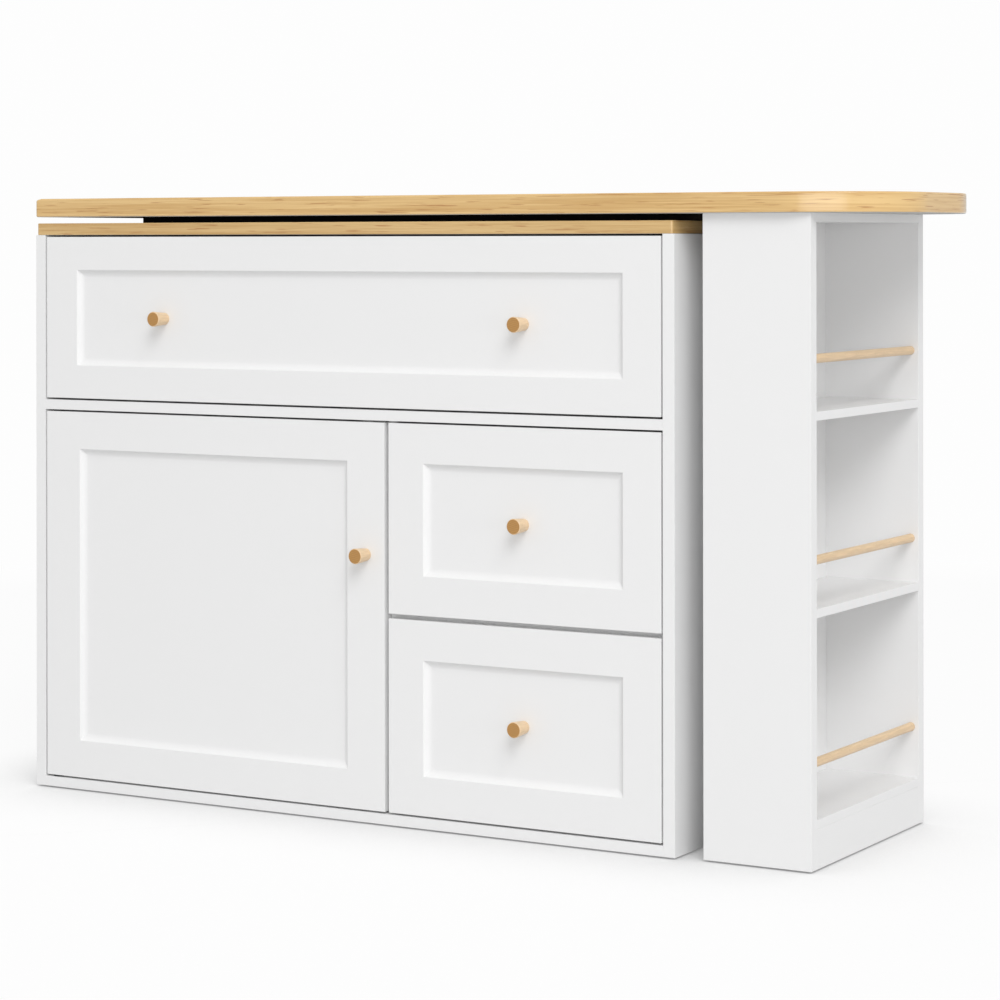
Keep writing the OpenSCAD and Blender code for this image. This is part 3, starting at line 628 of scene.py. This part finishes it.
class ISLAND_OT_finishes(bpy.types.Operator):
    """Makes the paints, woods, metals and plastics"""

    bl_idname = "island.finishes"
    bl_label = "Finishes"

    def execute(self, context):
        paint = context.scene.island_paint
        wood = context.scene.island_wood
        metal = context.scene.island_hardware
        paint_finish("White paint", paint.front, paint.roughness, paint.peel, 0.02)
        paint_finish("White front paint", paint.front, paint.roughness - 0.04, paint.peel)
        paint_finish("Drawer foil", paint.box, paint.roughness + 0.1, paint.peel, 0.10)
        oak_finish("Oak worktop", wood, 0.0)
        oak_finish("Oak fixed top", wood, 7.3)
        edging_finish("Oak worktop edging", wood, 0.0)
        edging_finish("Oak fixed top edging", wood, 41.0, 0.89)
        turned_finish("Turned beech", wood.turned)
        end_grain_finish("Beech end grain", wood.end_grain)
        zinc_finish("Zinc plate", metal.zinc)
        # Partly painted shade: the bars' near-zero black also stands in for the shade of the gap under the worktop
        coat_finish("Black powder coat", metal.black)
        moulded_finish("Grey nylon", metal.nylon, 0.45, 1600.0)
        moulded_finish("Soft tread", metal.tread, 0.65, 1100.0)
        moulded_finish("Black nylon", (0.02, 0.02, 0.022), 0.5, 1600.0)
        # Painted shade: the black of the discs that stand in for the dark inside of the shelf-pin bores
        moulded_finish("Dark hollow", (0.02, 0.02, 0.02), 0.8, 900.0)
        moulded_finish("Backing foil", (0.60, 0.59, 0.57), 0.6, 700.0)
        moulded_finish("Clear bumper", (0.75, 0.76, 0.76), 0.2, 400.0)
        return {"FINISHED"}


class ISLAND_OT_frame_finishes(bpy.types.Operator):
    """Puts a finish on every node of the frame"""

    bl_idname = "island.frame_finishes"
    bl_label = "Frame finishes"

    def execute(self, context):
        by_slot = {
            "white_board": "White paint",
            "white_front": "White front paint",
            "drawer_board": "Drawer foil",
            "oak_top": "Oak worktop",
            "beech_turned": "Turned beech",
            "black_steel": "Black powder coat",
            "zinc_steel": "Zinc plate",
            "grey_nylon": "Grey nylon",
        }
        for part in frame["record"]["subparts"]:
            paint_node(part["node"], by_slot[part["material_slot"]])
        paint_node("pivot_bushes", "Black nylon")
        return {"FINISHED"}


class ISLAND_OT_fronts(bpy.types.Operator):
    """Rounds the edges of the three drawer fronts and the door"""

    bl_idname = "island.fronts"
    bl_label = "Fronts and door"

    def execute(self, context):
        radius = context.scene.island_edges.front
        fronts = [(drawer + "_drawer_front", drawer + "_drawer") for drawer in DRAWERS]
        for node, body in fronts + [("door_panel", "door")]:
            front = rounded_node(node, body, radius, 3, "White front paint")
            self.sharpen_mitres(front.data)
        return {"FINISHED"}

    def sharpen_mitres(self, mesh):
        """Keeps the mitres of the coves crisp: they are the edges that run aslant."""
        aslant = 0.3  # least share of the lesser run in the greater
        for edge in mesh.edges:
            start, end = (mesh.vertices[index].co for index in edge.vertices)
            across, up = abs(end.x - start.x), abs(end.z - start.z)
            if min(across, up) > aslant * max(across, up):
                edge.use_edge_sharp = True


class ISLAND_OT_boards(bpy.types.Operator):
    """Rounds the edges of the painted boards of the cabinet, the tower and the drawer boxes"""

    bl_idname = "island.boards"
    bl_label = "Painted boards"

    def execute(self, context):
        radius = context.scene.island_edges.board
        for node in CABINET_BOARDS:
            rounded_node(node, "cabinet", radius, 2, "White paint")
        for node in TOWER_BOARDS:
            rounded_node(node, "swivel_top", radius, 2, "White paint")
        for drawer in DRAWERS:
            for board in ("_drawer_sides", "_drawer_back"):
                rounded_node(drawer + board, drawer + "_drawer", radius, 2,
                             "Drawer foil")
        return {"FINISHED"}


class ISLAND_OT_tops(bpy.types.Operator):
    """Rounds the edges of the swivelling worktop and of the top that is fixed to the cabinet"""

    bl_idname = "island.tops"
    bl_label = "Wooden tops"

    def execute(self, context):
        radius = context.scene.island_edges.top
        level = 0.6  # a face whose normal rises or falls less than this is edging
        for node, body, share in (("worktop", "swivel_top", 1.0), ("fixed_top", "cabinet", 0.4)):
            bm = merged_copy(node)
            if node == "worktop":
                self.ease_end(bm, 11 * MM, 2.4 * MM)
            round_edges(bm, radius * share, 4, 45)
            for face in bm.faces:
                rise = face.normal.z
                face.material_index = 0 if rise > level else 1 if rise > -level else 2
            finish = "Oak " + node.replace("_", " ")
            add_piece(node + "_rounded", bm, body, [finish, finish + " edging", "Backing foil"],
                      (node,))
        return {"FINISHED"}

    def ease_end(self, bm, run, fall):
        """Lets the upper face fall a little towards the end over the pivot."""
        end = min(vert.co.x for vert in bm.verts)
        top = max(vert.co.z for vert in bm.verts)
        bmesh.ops.bisect_plane(bm, geom=bm.verts[:] + bm.edges[:] + bm.faces[:],
                               plane_co=(end + run, 0, 0), plane_no=(1, 0, 0))
        for vert in bm.verts:
            if vert.co.z > top - 1e-5 and vert.co.x < end + run:
                vert.co.z -= fall * (1 - (vert.co.x - end) / run)
        bm.normal_update()


class ISLAND_OT_knobs(bpy.types.Operator):
    """Turns the wooden knobs, with end grain on the face that is gripped"""

    bl_idname = "island.knobs"
    bl_label = "Knobs"

    def execute(self, context):
        rim = context.scene.island_edges.knob
        for node, body, count in (("door_knob", "door", 1), ("top_drawer_knobs", "top_drawer", 2),
                                  ("middle_drawer_knob", "middle_drawer", 1),
                                  ("lower_drawer_knob", "lower_drawer", 1)):
            low, high = corners(node)
            radius = (high.z - low.z) / 2
            length = high.y - low.y
            foot = radius - 2.2 * MM
            centres = [low.x + radius] if count == 1 else [low.x + radius, high.x - radius]
            knob = turned_shape(
                [(0, 0), (foot, 0), (foot + 0.2 * MM, 2 * MM)]
                + arc((radius - rim, length - rim), rim, 0, 90, 5)
                + [(radius * 0.5, length), (0, length)], 64)
            for face in knob.faces:
                if face.normal.z > 0.9 and face.calc_center_median().z > length / 2:
                    face.material_index = 1
            add_row(node + "_turned", body, knob,
                    [facing((x, high.y, (low.z + high.z) / 2), (0, -1, 0)) for x in centres],
                    ["Turned beech", "Beech end grain"], (node,), 50)
        return {"FINISHED"}


class ISLAND_OT_rails(bpy.types.Operator):
    """Makes the three round rails of the tower"""

    bl_idname = "island.rails"
    bl_label = "Tower rails"

    def execute(self, context):
        low, high = corners("tower_rails")
        radius = (high.x - low.x) / 2
        length = high.y - low.y
        rim = 0.6 * MM
        rail = turned_shape([(0, 0), (radius - rim, 0), (radius, rim), (radius, length - rim),
                             (radius - rim, length), (0, length)], 48)
        heights = levels_of("tower_rails", 2)
        lows = [z for index, z in enumerate(heights) if index == 0 or z - heights[index - 1] > 0.1]
        add_row("tower_rails_turned", "swivel_top", rail,
                [facing((low.x + radius, high.y, z + radius), (0, -1, 0)) for z in lows],
                ["Turned beech"], ("tower_rails",), 50)
        return {"FINISHED"}


class ISLAND_OT_wheels(bpy.types.Operator):
    """Makes the tower's two wheels: a nylon core with a soft grooved tread"""

    bl_idname = "island.wheels"
    bl_label = "Tower wheels"

    def execute(self, context):
        joints = {joint["name"]: joint for joint in frame["joints"]}
        for node in ("front_wheel", "rear_wheel"):
            joint = joints[node + "_roll"]
            low, high = corners(node)
            radius = (high.z - low.z) / 2
            half = 8.5 * MM
            bore, hub, rib, tread = 3.05 * MM, 8.0 * MM, 16.0 * MM, 2.3 * MM
            side = [(bore, half), (hub - 0.8 * MM, half), (hub, half - 0.8 * MM),
                    (hub + 0.6 * MM, half - 2.5 * MM), (rib - 0.6 * MM, half - 2.5 * MM),
                    (rib, half - 0.5 * MM), (rib + 1.0 * MM, half)]
            shoulder = arc((radius - 2.0 * MM, half - 2.0 * MM), 2.0 * MM, 90, 0, 5)
            grooves = []
            for centre in (3.5 * MM, 0.0, -3.5 * MM):
                grooves += [(radius, centre + 0.6 * MM), (radius - 0.5 * MM, centre + 0.25 * MM),
                            (radius - 0.5 * MM, centre - 0.25 * MM), (radius, centre - 0.6 * MM)]
            far = [(r, -h) for r, h in reversed(side + shoulder)]
            wheel = ring_shape(side + shoulder + grooves + far, 64)
            for face in wheel.faces:
                if face.calc_center_median().xy.length > radius - tread:
                    face.material_index = 1
            add_row(node + "_moulded", node, wheel, [facing(joint["pos_m"], joint["axis"])],
                    ["Grey nylon", "Soft tread"], (node,), 40)
        return {"FINISHED"}


class ISLAND_OT_drawer_hardware(bpy.types.Operator):
    """Adds the angle brackets and screws inside each drawer"""

    bl_idname = "island.drawer_hardware"
    bl_label = "Drawer hardware"

    def execute(self, context):
        for drawer in DRAWERS:
            body = drawer + "_drawer"
            low, high = corners(drawer + "_drawer_sides")
            board, steel, arm = 12 * MM, 1.5 * MM, 26 * MM
            middle = (low.z + high.z) / 2
            screws = []
            brackets = bmesh.new()
            for x, out in ((low.x + board, 1), (high.x - board, -1)):
                for y in (low.y + 40 * MM, low.y + 170 * MM, high.y - 40 * MM):
                    screws.append(((x, y, low.z + 42 * MM), (out, 0, 0), 0.3 + y * 7))
                for z in (middle - 28 * MM, middle + 44 * MM):
                    for start, end, deep in ((0, steel, arm), (steel, arm, steel)):
                        near, far = sorted((x + out * start, x + out * end))
                        block(brackets, (near, low.y, z - 8 * MM),
                              (far, low.y + deep, z + 8 * MM), 0.5 * MM)
                    screws.append(((x + out * steel, low.y + 16 * MM, z), (out, 0, 0), 0.9))
                    screws.append(((x + out * 16 * MM, low.y + steel, z), (0, 1, 0), 0.4))
            add_piece(drawer + "_drawer_brackets", brackets, body, ["Zinc plate"])
            add_screws(drawer + "_drawer_screws", body, screws, 3.3 * MM, 1.6 * MM)
        return {"FINISHED"}


class ISLAND_OT_cupboard_hardware(bpy.types.Operator):
    """Adds black discs of painted shade for the shelf-pin holes, the cover caps, the details of the catch and the
    door's bumpers
    """

    bl_idname = "island.cupboard_hardware"
    bl_label = "Cupboard hardware"

    def execute(self, context):
        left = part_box("left_side_panel")[1][0]
        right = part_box("centre_divider")[0][0]
        pins_low, pins_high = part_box("shelf_pins")
        radius, pitch = 2.5 * MM, 32 * MM
        rows = (pins_low[1] + radius, pins_high[1] - radius)
        middle = (pins_low[2] + pins_high[2]) / 2
        # Painted shade: a flat black disc on the panel stands in for the dark inside of each shelf-pin bore
        hole_shade_disc = turned_shape([(0, 0.05 * MM), (radius, 0.05 * MM), (radius, 0), (0, 0)], 24)
        rim = ring_shape([(radius, 0), (radius, 0.12 * MM), (radius + 0.5 * MM, 0)], 24)
        places = [facing((x, y, middle + step * pitch), (out, 0, 0))
                  for x, out in ((left, 1), (right, -1)) for y in rows
                  for step in (-4, -3, -2, -1, 1, 2, 3, 4)]
        add_row("shelf_pin_holes", "cabinet", hole_shade_disc, places, ["Dark hollow"])
        add_row("shelf_pin_hole_rims", "cabinet", rim, places, ["White paint"])

        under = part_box("middle_panel")[0][2]
        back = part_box("back_panel")[0][1]
        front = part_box("centre_divider")[0][1]
        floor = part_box("bottom_panel")[1][2]
        inset = 34 * MM
        caps = [((x, y, z), (0, 0, out)) for z, out in ((under, -1), (floor, 1))
                for x in (left + inset, right - inset)
                for y in (front + 90 * MM, back - 60 * MM)]
        add_caps("cupboard_joint_caps", "cabinet", caps, 8 * MM)

        low, high = corners("magnet_catch")
        poles = bmesh.new()
        for share in (0.32, 0.68):
            x = low.x + (high.x - low.x) * share
            block(poles, (x - 1.2 * MM, low.y - 0.15 * MM, low.z + 2.5 * MM),
                  (x + 1.2 * MM, low.y + 1 * MM, high.z - 2.5 * MM), 0.1 * MM)
        add_piece("catch_poles", poles, "cabinet", ["Zinc plate"])
        add_screws("catch_screws", "cabinet",
                   [((low.x + (high.x - low.x) * share, (low.y + high.y) / 2, low.z),
                     (0, 0, -1), share * 2) for share in (0.15, 0.85)], 2.8 * MM, 1.3 * MM)

        plate_low, plate_high = corners("strike_plate")
        plate_middle = (plate_low.z + plate_high.z) / 2
        door_low, door_high = corners("door_panel")
        bumper = turned_shape([(0, 0.8 * MM), (2 * MM, 0.72 * MM), (3.2 * MM, 0.45 * MM),
                               (4 * MM, 0), (0, 0)], 32)
        add_row("door_bumpers", "door", bumper,
                [facing((door_high.x - 8 * MM, door_high.y, z), (0, 1, 0))
                 for z in (door_low.z + 30 * MM, door_high.z - 40 * MM)],
                ["Clear bumper"])
        add_screws("strike_screws", "door",
                   [((x, plate_high.y, plate_middle), (0, 1, 0), turn)
                    for x, turn in ((plate_low.x + 7 * MM, 0.5), (plate_high.x - 7 * MM, 1.1))],
                   2.0 * MM, 0.2 * MM)
        return {"FINISHED"}


class ISLAND_OT_back_hardware(bpy.types.Operator):
    """Adds the screws that hold the back panel to the boards, and the glides with their pins"""

    bl_idname = "island.back_hardware"
    bl_label = "Back panel and glides"

    def execute(self, context):
        low, high = corners("back_panel")
        divider = centre_of("centre_divider").x
        spots = [(low.x + (high.x - low.x) * share, centre_of(node).z)
                 for node in ("bottom_panel", "middle_panel")
                 for share in (0.06, 0.25, 0.44, 0.78, 0.94)]
        spots += [(divider, z) for z in (0.12, 0.29, 0.46)]
        add_screws("back_panel_screws", "cabinet",
                   [((x, high.y, z), (0, 1, 0), x * 9 + z * 5) for x, z in spots],
                   3.4 * MM, 1.5 * MM)

        low, high = corners("floor_glides")
        radius = 11 * MM
        glide = turned_shape([(0, 1.2 * MM), (4 * MM, 1.2 * MM), (4.4 * MM, 0.1 * MM),
                              (4.6 * MM, 0)]
                             + arc((radius - 0.7 * MM, 0.7 * MM), 0.7 * MM, -90, 0, 4)
                             + [(radius, high.z), (0, high.z)], 40)
        places = [Matrix.Translation((x, y, 0)) for x in (low.x + radius, divider, high.x - radius)
                  for y in (low.y + radius, high.y - radius)]
        add_row("floor_glides_moulded", "cabinet", glide, places, ["Grey nylon"],
                ("floor_glides",))
        pin = turned_shape([(0, 0.7 * MM), (2.4 * MM, 0.8 * MM), (2.8 * MM, 1.3 * MM),
                            (0, 1.3 * MM)], 24)
        add_row("glide_pins", "cabinet", pin, places, ["Zinc plate"])
        return {"FINISHED"}


class ISLAND_OT_tower_hardware(bpy.types.Operator):
    """Adds the cover caps on the tower's cabinet side and the screws of the wheel brackets"""

    bl_idname = "island.tower_hardware"
    bl_label = "Tower hardware"

    def execute(self, context):
        low, high = corners("tower_inner_panel")
        caps = []
        for node in ("tower_base_shelf", "tower_lower_shelf", "tower_upper_shelf"):
            z = centre_of(node).z
            caps += [((low.x, low.y + share * (high.y - low.y), z), (-1, 0, 0))
                     for share in (0.12, 0.5, 0.88)]
        add_caps("tower_joint_caps", "swivel_top", caps, 6 * MM)
        steel = 2 * MM
        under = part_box("wheel_brackets")[1][2] - steel
        wheels = [joint["pos_m"] for joint in frame["joints"]
                  if joint["name"].endswith("wheel_roll")]
        add_screws("bracket_screws", "swivel_top",
                   [((x + 4.5 * MM * side, y + 7 * MM * side, under), (0, 0, -1), 0.4 + side)
                    for x, y, z in wheels for side in (-1, 1)], 2.8 * MM, 1.3 * MM)
        return {"FINISHED"}


class ISLAND_OT_swivel_hardware(bpy.types.Operator):
    """Adds the screws of the bearing plates, and the screws and weld beads of the steel bars"""

    bl_idname = "island.swivel_hardware"
    bl_label = "Swivel hardware"

    def execute(self, context):
        axis = centre_of("bearing_lower_plate")
        plate = 2.2 * MM
        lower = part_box("fixed_top")[1][2] + plate
        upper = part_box("bearing_upper_plate")[0][2]
        reach = 91 * MM
        turns = [radians(22.5 + 45 * index) for index in range(8)]
        for name, body, z, out in (("bearing_lower_screws", "cabinet", lower, 1),
                                   ("bearing_upper_screws", "swivel_top", upper, -1)):
            add_screws(name, body,
                       [((axis.x + reach * cos(turn), axis.y + reach * sin(turn), z),
                         (0, 0, out), turn) for turn in turns], 3.2 * MM, 1.3 * MM)
        low, high = corners("support_bars")
        wide = 30 * MM
        lines = (low.y + wide / 2, high.y - wide / 2)
        spots = [(low.x + (high.x - low.x) * share, y)
                 for share in (0.03, 0.22, 0.42, 0.62, 0.82, 0.97) for y in lines]
        add_screws("bar_screws", "swivel_top",
                   [((x, y, low.z), (0, 0, -1), x * 5) for x, y in spots],
                   4.0 * MM, 0.25 * MM, "Black powder coat")
        cross = levels_of("support_bars", 0)[1]
        bead = turned_shape([(0, 0), (0.9 * MM, 0.4 * MM)]
                            + [(1.5 * MM + 0.25 * MM * (index % 2), 1.2 * MM * (index + 1))
                               for index in range(6)] + [(0.9 * MM, 8.4 * MM), (0, 8.8 * MM)], 12)
        joints = [(x, y) for x in (cross, cross + wide, high.x - wide)
                  for y in (low.y + wide, high.y - wide)]
        add_row("bar_weld_beads", "swivel_top", bead,
                [Matrix.Translation((x, y, low.z + 0.1 * MM)) for x, y in joints],
                ["Black powder coat"])
        return {"FINISHED"}


class ISLAND_OT_studio(bpy.types.Operator):
    """Makes the pale floor, the soft light and the camera"""

    bl_idname = "island.studio"
    bl_label = "Studio"

    def execute(self, context):
        scene = context.scene
        stage = scene.island_stage
        scene.view_settings.view_transform = "Standard"

        floor = bmesh.new()
        bmesh.ops.create_grid(floor, x_segments=1, y_segments=1, size=400.0)
        mesh = bpy.data.meshes.new("studio_floor")
        floor.to_mesh(mesh)
        floor.free()
        mesh.materials.append(self.floor_finish())
        ground = bpy.data.objects.new("studio_floor", mesh)
        scene.collection.objects.link(ground)

        self.room_light(scene, stage.sky)
        for name, setting, *shape in SOFT_BOXES:
            self.soft_box(scene, name, getattr(stage, setting), *shape)

        camera = bpy.data.cameras.new("Camera")
        camera.lens = stage.lens
        camera.sensor_width = 36.0
        camera.sensor_fit = "HORIZONTAL"
        camera.shift_x, camera.shift_y = CAMERA_SHIFT
        camera.clip_end = 200.0
        camera.dof.use_dof = False
        holder = bpy.data.objects.new("Camera", camera)
        yaw, roll = radians(CAMERA_YAW), radians(CAMERA_ROLL)
        ahead = Vector((-sin(yaw), cos(yaw), 0.0))
        right = Vector((cos(yaw), sin(yaw), 0.0))
        up = Vector((0.0, 0.0, 1.0))
        right, up = right * cos(roll) + up * sin(roll), up * cos(roll) - right * sin(roll)
        turn = Matrix((right, up, -ahead)).transposed().to_4x4()
        holder.matrix_world = Matrix.Translation(CAMERA_PLACE) @ turn
        scene.collection.objects.link(holder)
        scene.camera = holder
        return {"FINISHED"}

    def floor_finish(self):
        """White paper that turns plain white far from the unit, and where nothing stands near it.

        A contact shade stays, partly real and partly painted into the paper's colour from an occlusion node, with
        a faint cast shadow. Rays of other kinds meet an even pale grey.
        """
        shade_reach = 0.24  # distance over which shade is painted on the paper near the unit
        fade_start, fade_end = 1.4, 3.4  # distances from the middle over which it turns plain
        steepness, kept = 2.0, 0.13  # of its clearing, and share of the cast shadow that stays
        finish = Finish("Studio paper", Roughness=0.9, Specular_IOR_Level=0.1)
        seen = self.seen_rays(finish)
        near = finish.node("ShaderNodeAmbientOcclusion", {"samples": 8},
                           {"Distance": shade_reach}, output="AO")
        # Painted shade: the paper's colour darkens where the occlusion node finds the unit near
        paper = finish.colour(near, (0.48, 0.48, 0.48), (0.82, 0.82, 0.82))
        finish.set(Base_Color=finish.colour(seen, (0.62, 0.62, 0.62), paper))
        distance = finish.node("ShaderNodeVectorMath", {"operation": "LENGTH"},
                               {"Vector": finish.where}, output="Value")
        lift = finish.node("ShaderNodeEmission", None, {"Strength": seen * 0.18})
        both = finish.node("ShaderNodeAddShader", None,
                           {0: Value(finish, finish.surface.outputs[0]), 1: lift})
        plain = finish.node("ShaderNodeEmission", None, {"Strength": PLAIN_WHITE})
        clear = near * steepness - (steepness - 1.0 + kept)
        clear = clear.greater(distance.between(fade_start, fade_end))
        fade = finish.node("ShaderNodeMixShader", None, {
            "Fac": clear.greater(0.0) * seen, 1: both, 2: plain})
        finish.feed(finish.tree.nodes["Material Output"].inputs["Surface"], fade)
        return finish.material

    def seen_rays(self, finish):
        """1 for rays from the camera, and for those that metal and glass pass on."""
        rays = finish.node("ShaderNodeLightPath", output="Is Camera Ray")
        node = rays.socket.node
        glossy = Value(finish, node.outputs["Is Glossy Ray"])
        through = Value(finish, node.outputs["Is Transmission Ray"])
        return rays.greater(glossy).greater(through)

    def room_light(self, scene, strength):
        """An even light from all round, which the camera sees as plain white."""
        world = bpy.data.worlds.new("Room")
        world.use_nodes = True
        scene.world = world
        tree = world.node_tree
        shell = tree.nodes["Background"]
        shell.inputs["Color"].default_value = (1.0, 1.0, 1.0, 1.0)
        path = tree.nodes.new("ShaderNodeLightPath")
        seen = tree.nodes.new("ShaderNodeMath")
        seen.operation = "MAXIMUM"
        tree.links.new(path.outputs["Is Camera Ray"], seen.inputs[0])
        tree.links.new(path.outputs["Is Transmission Ray"], seen.inputs[1])
        level = tree.nodes.new("ShaderNodeMapRange")
        level.inputs["To Min"].default_value = strength
        level.inputs["To Max"].default_value = PLAIN_WHITE
        tree.links.new(seen.outputs[0], level.inputs["Value"])
        tree.links.new(level.outputs[0], shell.inputs["Strength"])

    def soft_box(self, scene, name, power, place, target, width, height, shape, glints):
        """A broad lamp, hidden from the camera and, without glints, from reflections."""
        light = bpy.data.lights.new(name, "AREA")
        light.shape = shape
        light.size = width
        light.size_y = height
        light.energy = power
        lamp = bpy.data.objects.new(name, light)
        lamp.visible_camera = False
        lamp.visible_glossy = glints
        aim = Vector(target) - Vector(place)
        turn = aim.to_track_quat("-Z", "Y").to_matrix().to_4x4()
        lamp.matrix_world = Matrix.Translation(place) @ turn
        scene.collection.objects.link(lamp)


class ISLAND_PT_panel(bpy.types.Panel):
    """Lists the settings and the steps in order"""

    bl_idname = "ISLAND_PT_panel"
    bl_label = "Kitchen Island"
    bl_space_type = "VIEW_3D"
    bl_region_type = "UI"
    bl_category = "Island"

    def draw(self, context):
        for name, group in SETTINGS.items():
            box = self.layout.box()
            box.label(text=group.__doc__)
            for field in group.__annotations__:
                box.prop(getattr(context.scene, name), field)
        for operator in OPERATORS:
            self.layout.operator(operator.bl_idname)


OPERATORS = (
    ISLAND_OT_finishes,
    ISLAND_OT_frame_finishes,
    ISLAND_OT_fronts,
    ISLAND_OT_boards,
    ISLAND_OT_tops,
    ISLAND_OT_knobs,
    ISLAND_OT_rails,
    ISLAND_OT_wheels,
    ISLAND_OT_drawer_hardware,
    ISLAND_OT_cupboard_hardware,
    ISLAND_OT_back_hardware,
    ISLAND_OT_tower_hardware,
    ISLAND_OT_swivel_hardware,
    ISLAND_OT_studio,
)


def register():
    for group in SETTINGS.values():
        bpy.utils.register_class(group)
    for operator in OPERATORS:
        bpy.utils.register_class(operator)
    bpy.utils.register_class(ISLAND_PT_panel)
    for name, group in SETTINGS.items():
        setattr(bpy.types.Scene, name, bpy.props.PointerProperty(type=group))


def unregister():
    for name in SETTINGS:
        delattr(bpy.types.Scene, name)
    bpy.utils.unregister_class(ISLAND_PT_panel)
    for operator in reversed(OPERATORS):
        bpy.utils.unregister_class(operator)
    for group in reversed(SETTINGS.values()):
        bpy.utils.unregister_class(group)


def main():
    """Builds everything in order."""
    register()
    for operator in OPERATORS:
        group, step = operator.bl_idname.split(".")
        getattr(getattr(bpy.ops, group), step)()


if __name__ == "__main__":
    main()
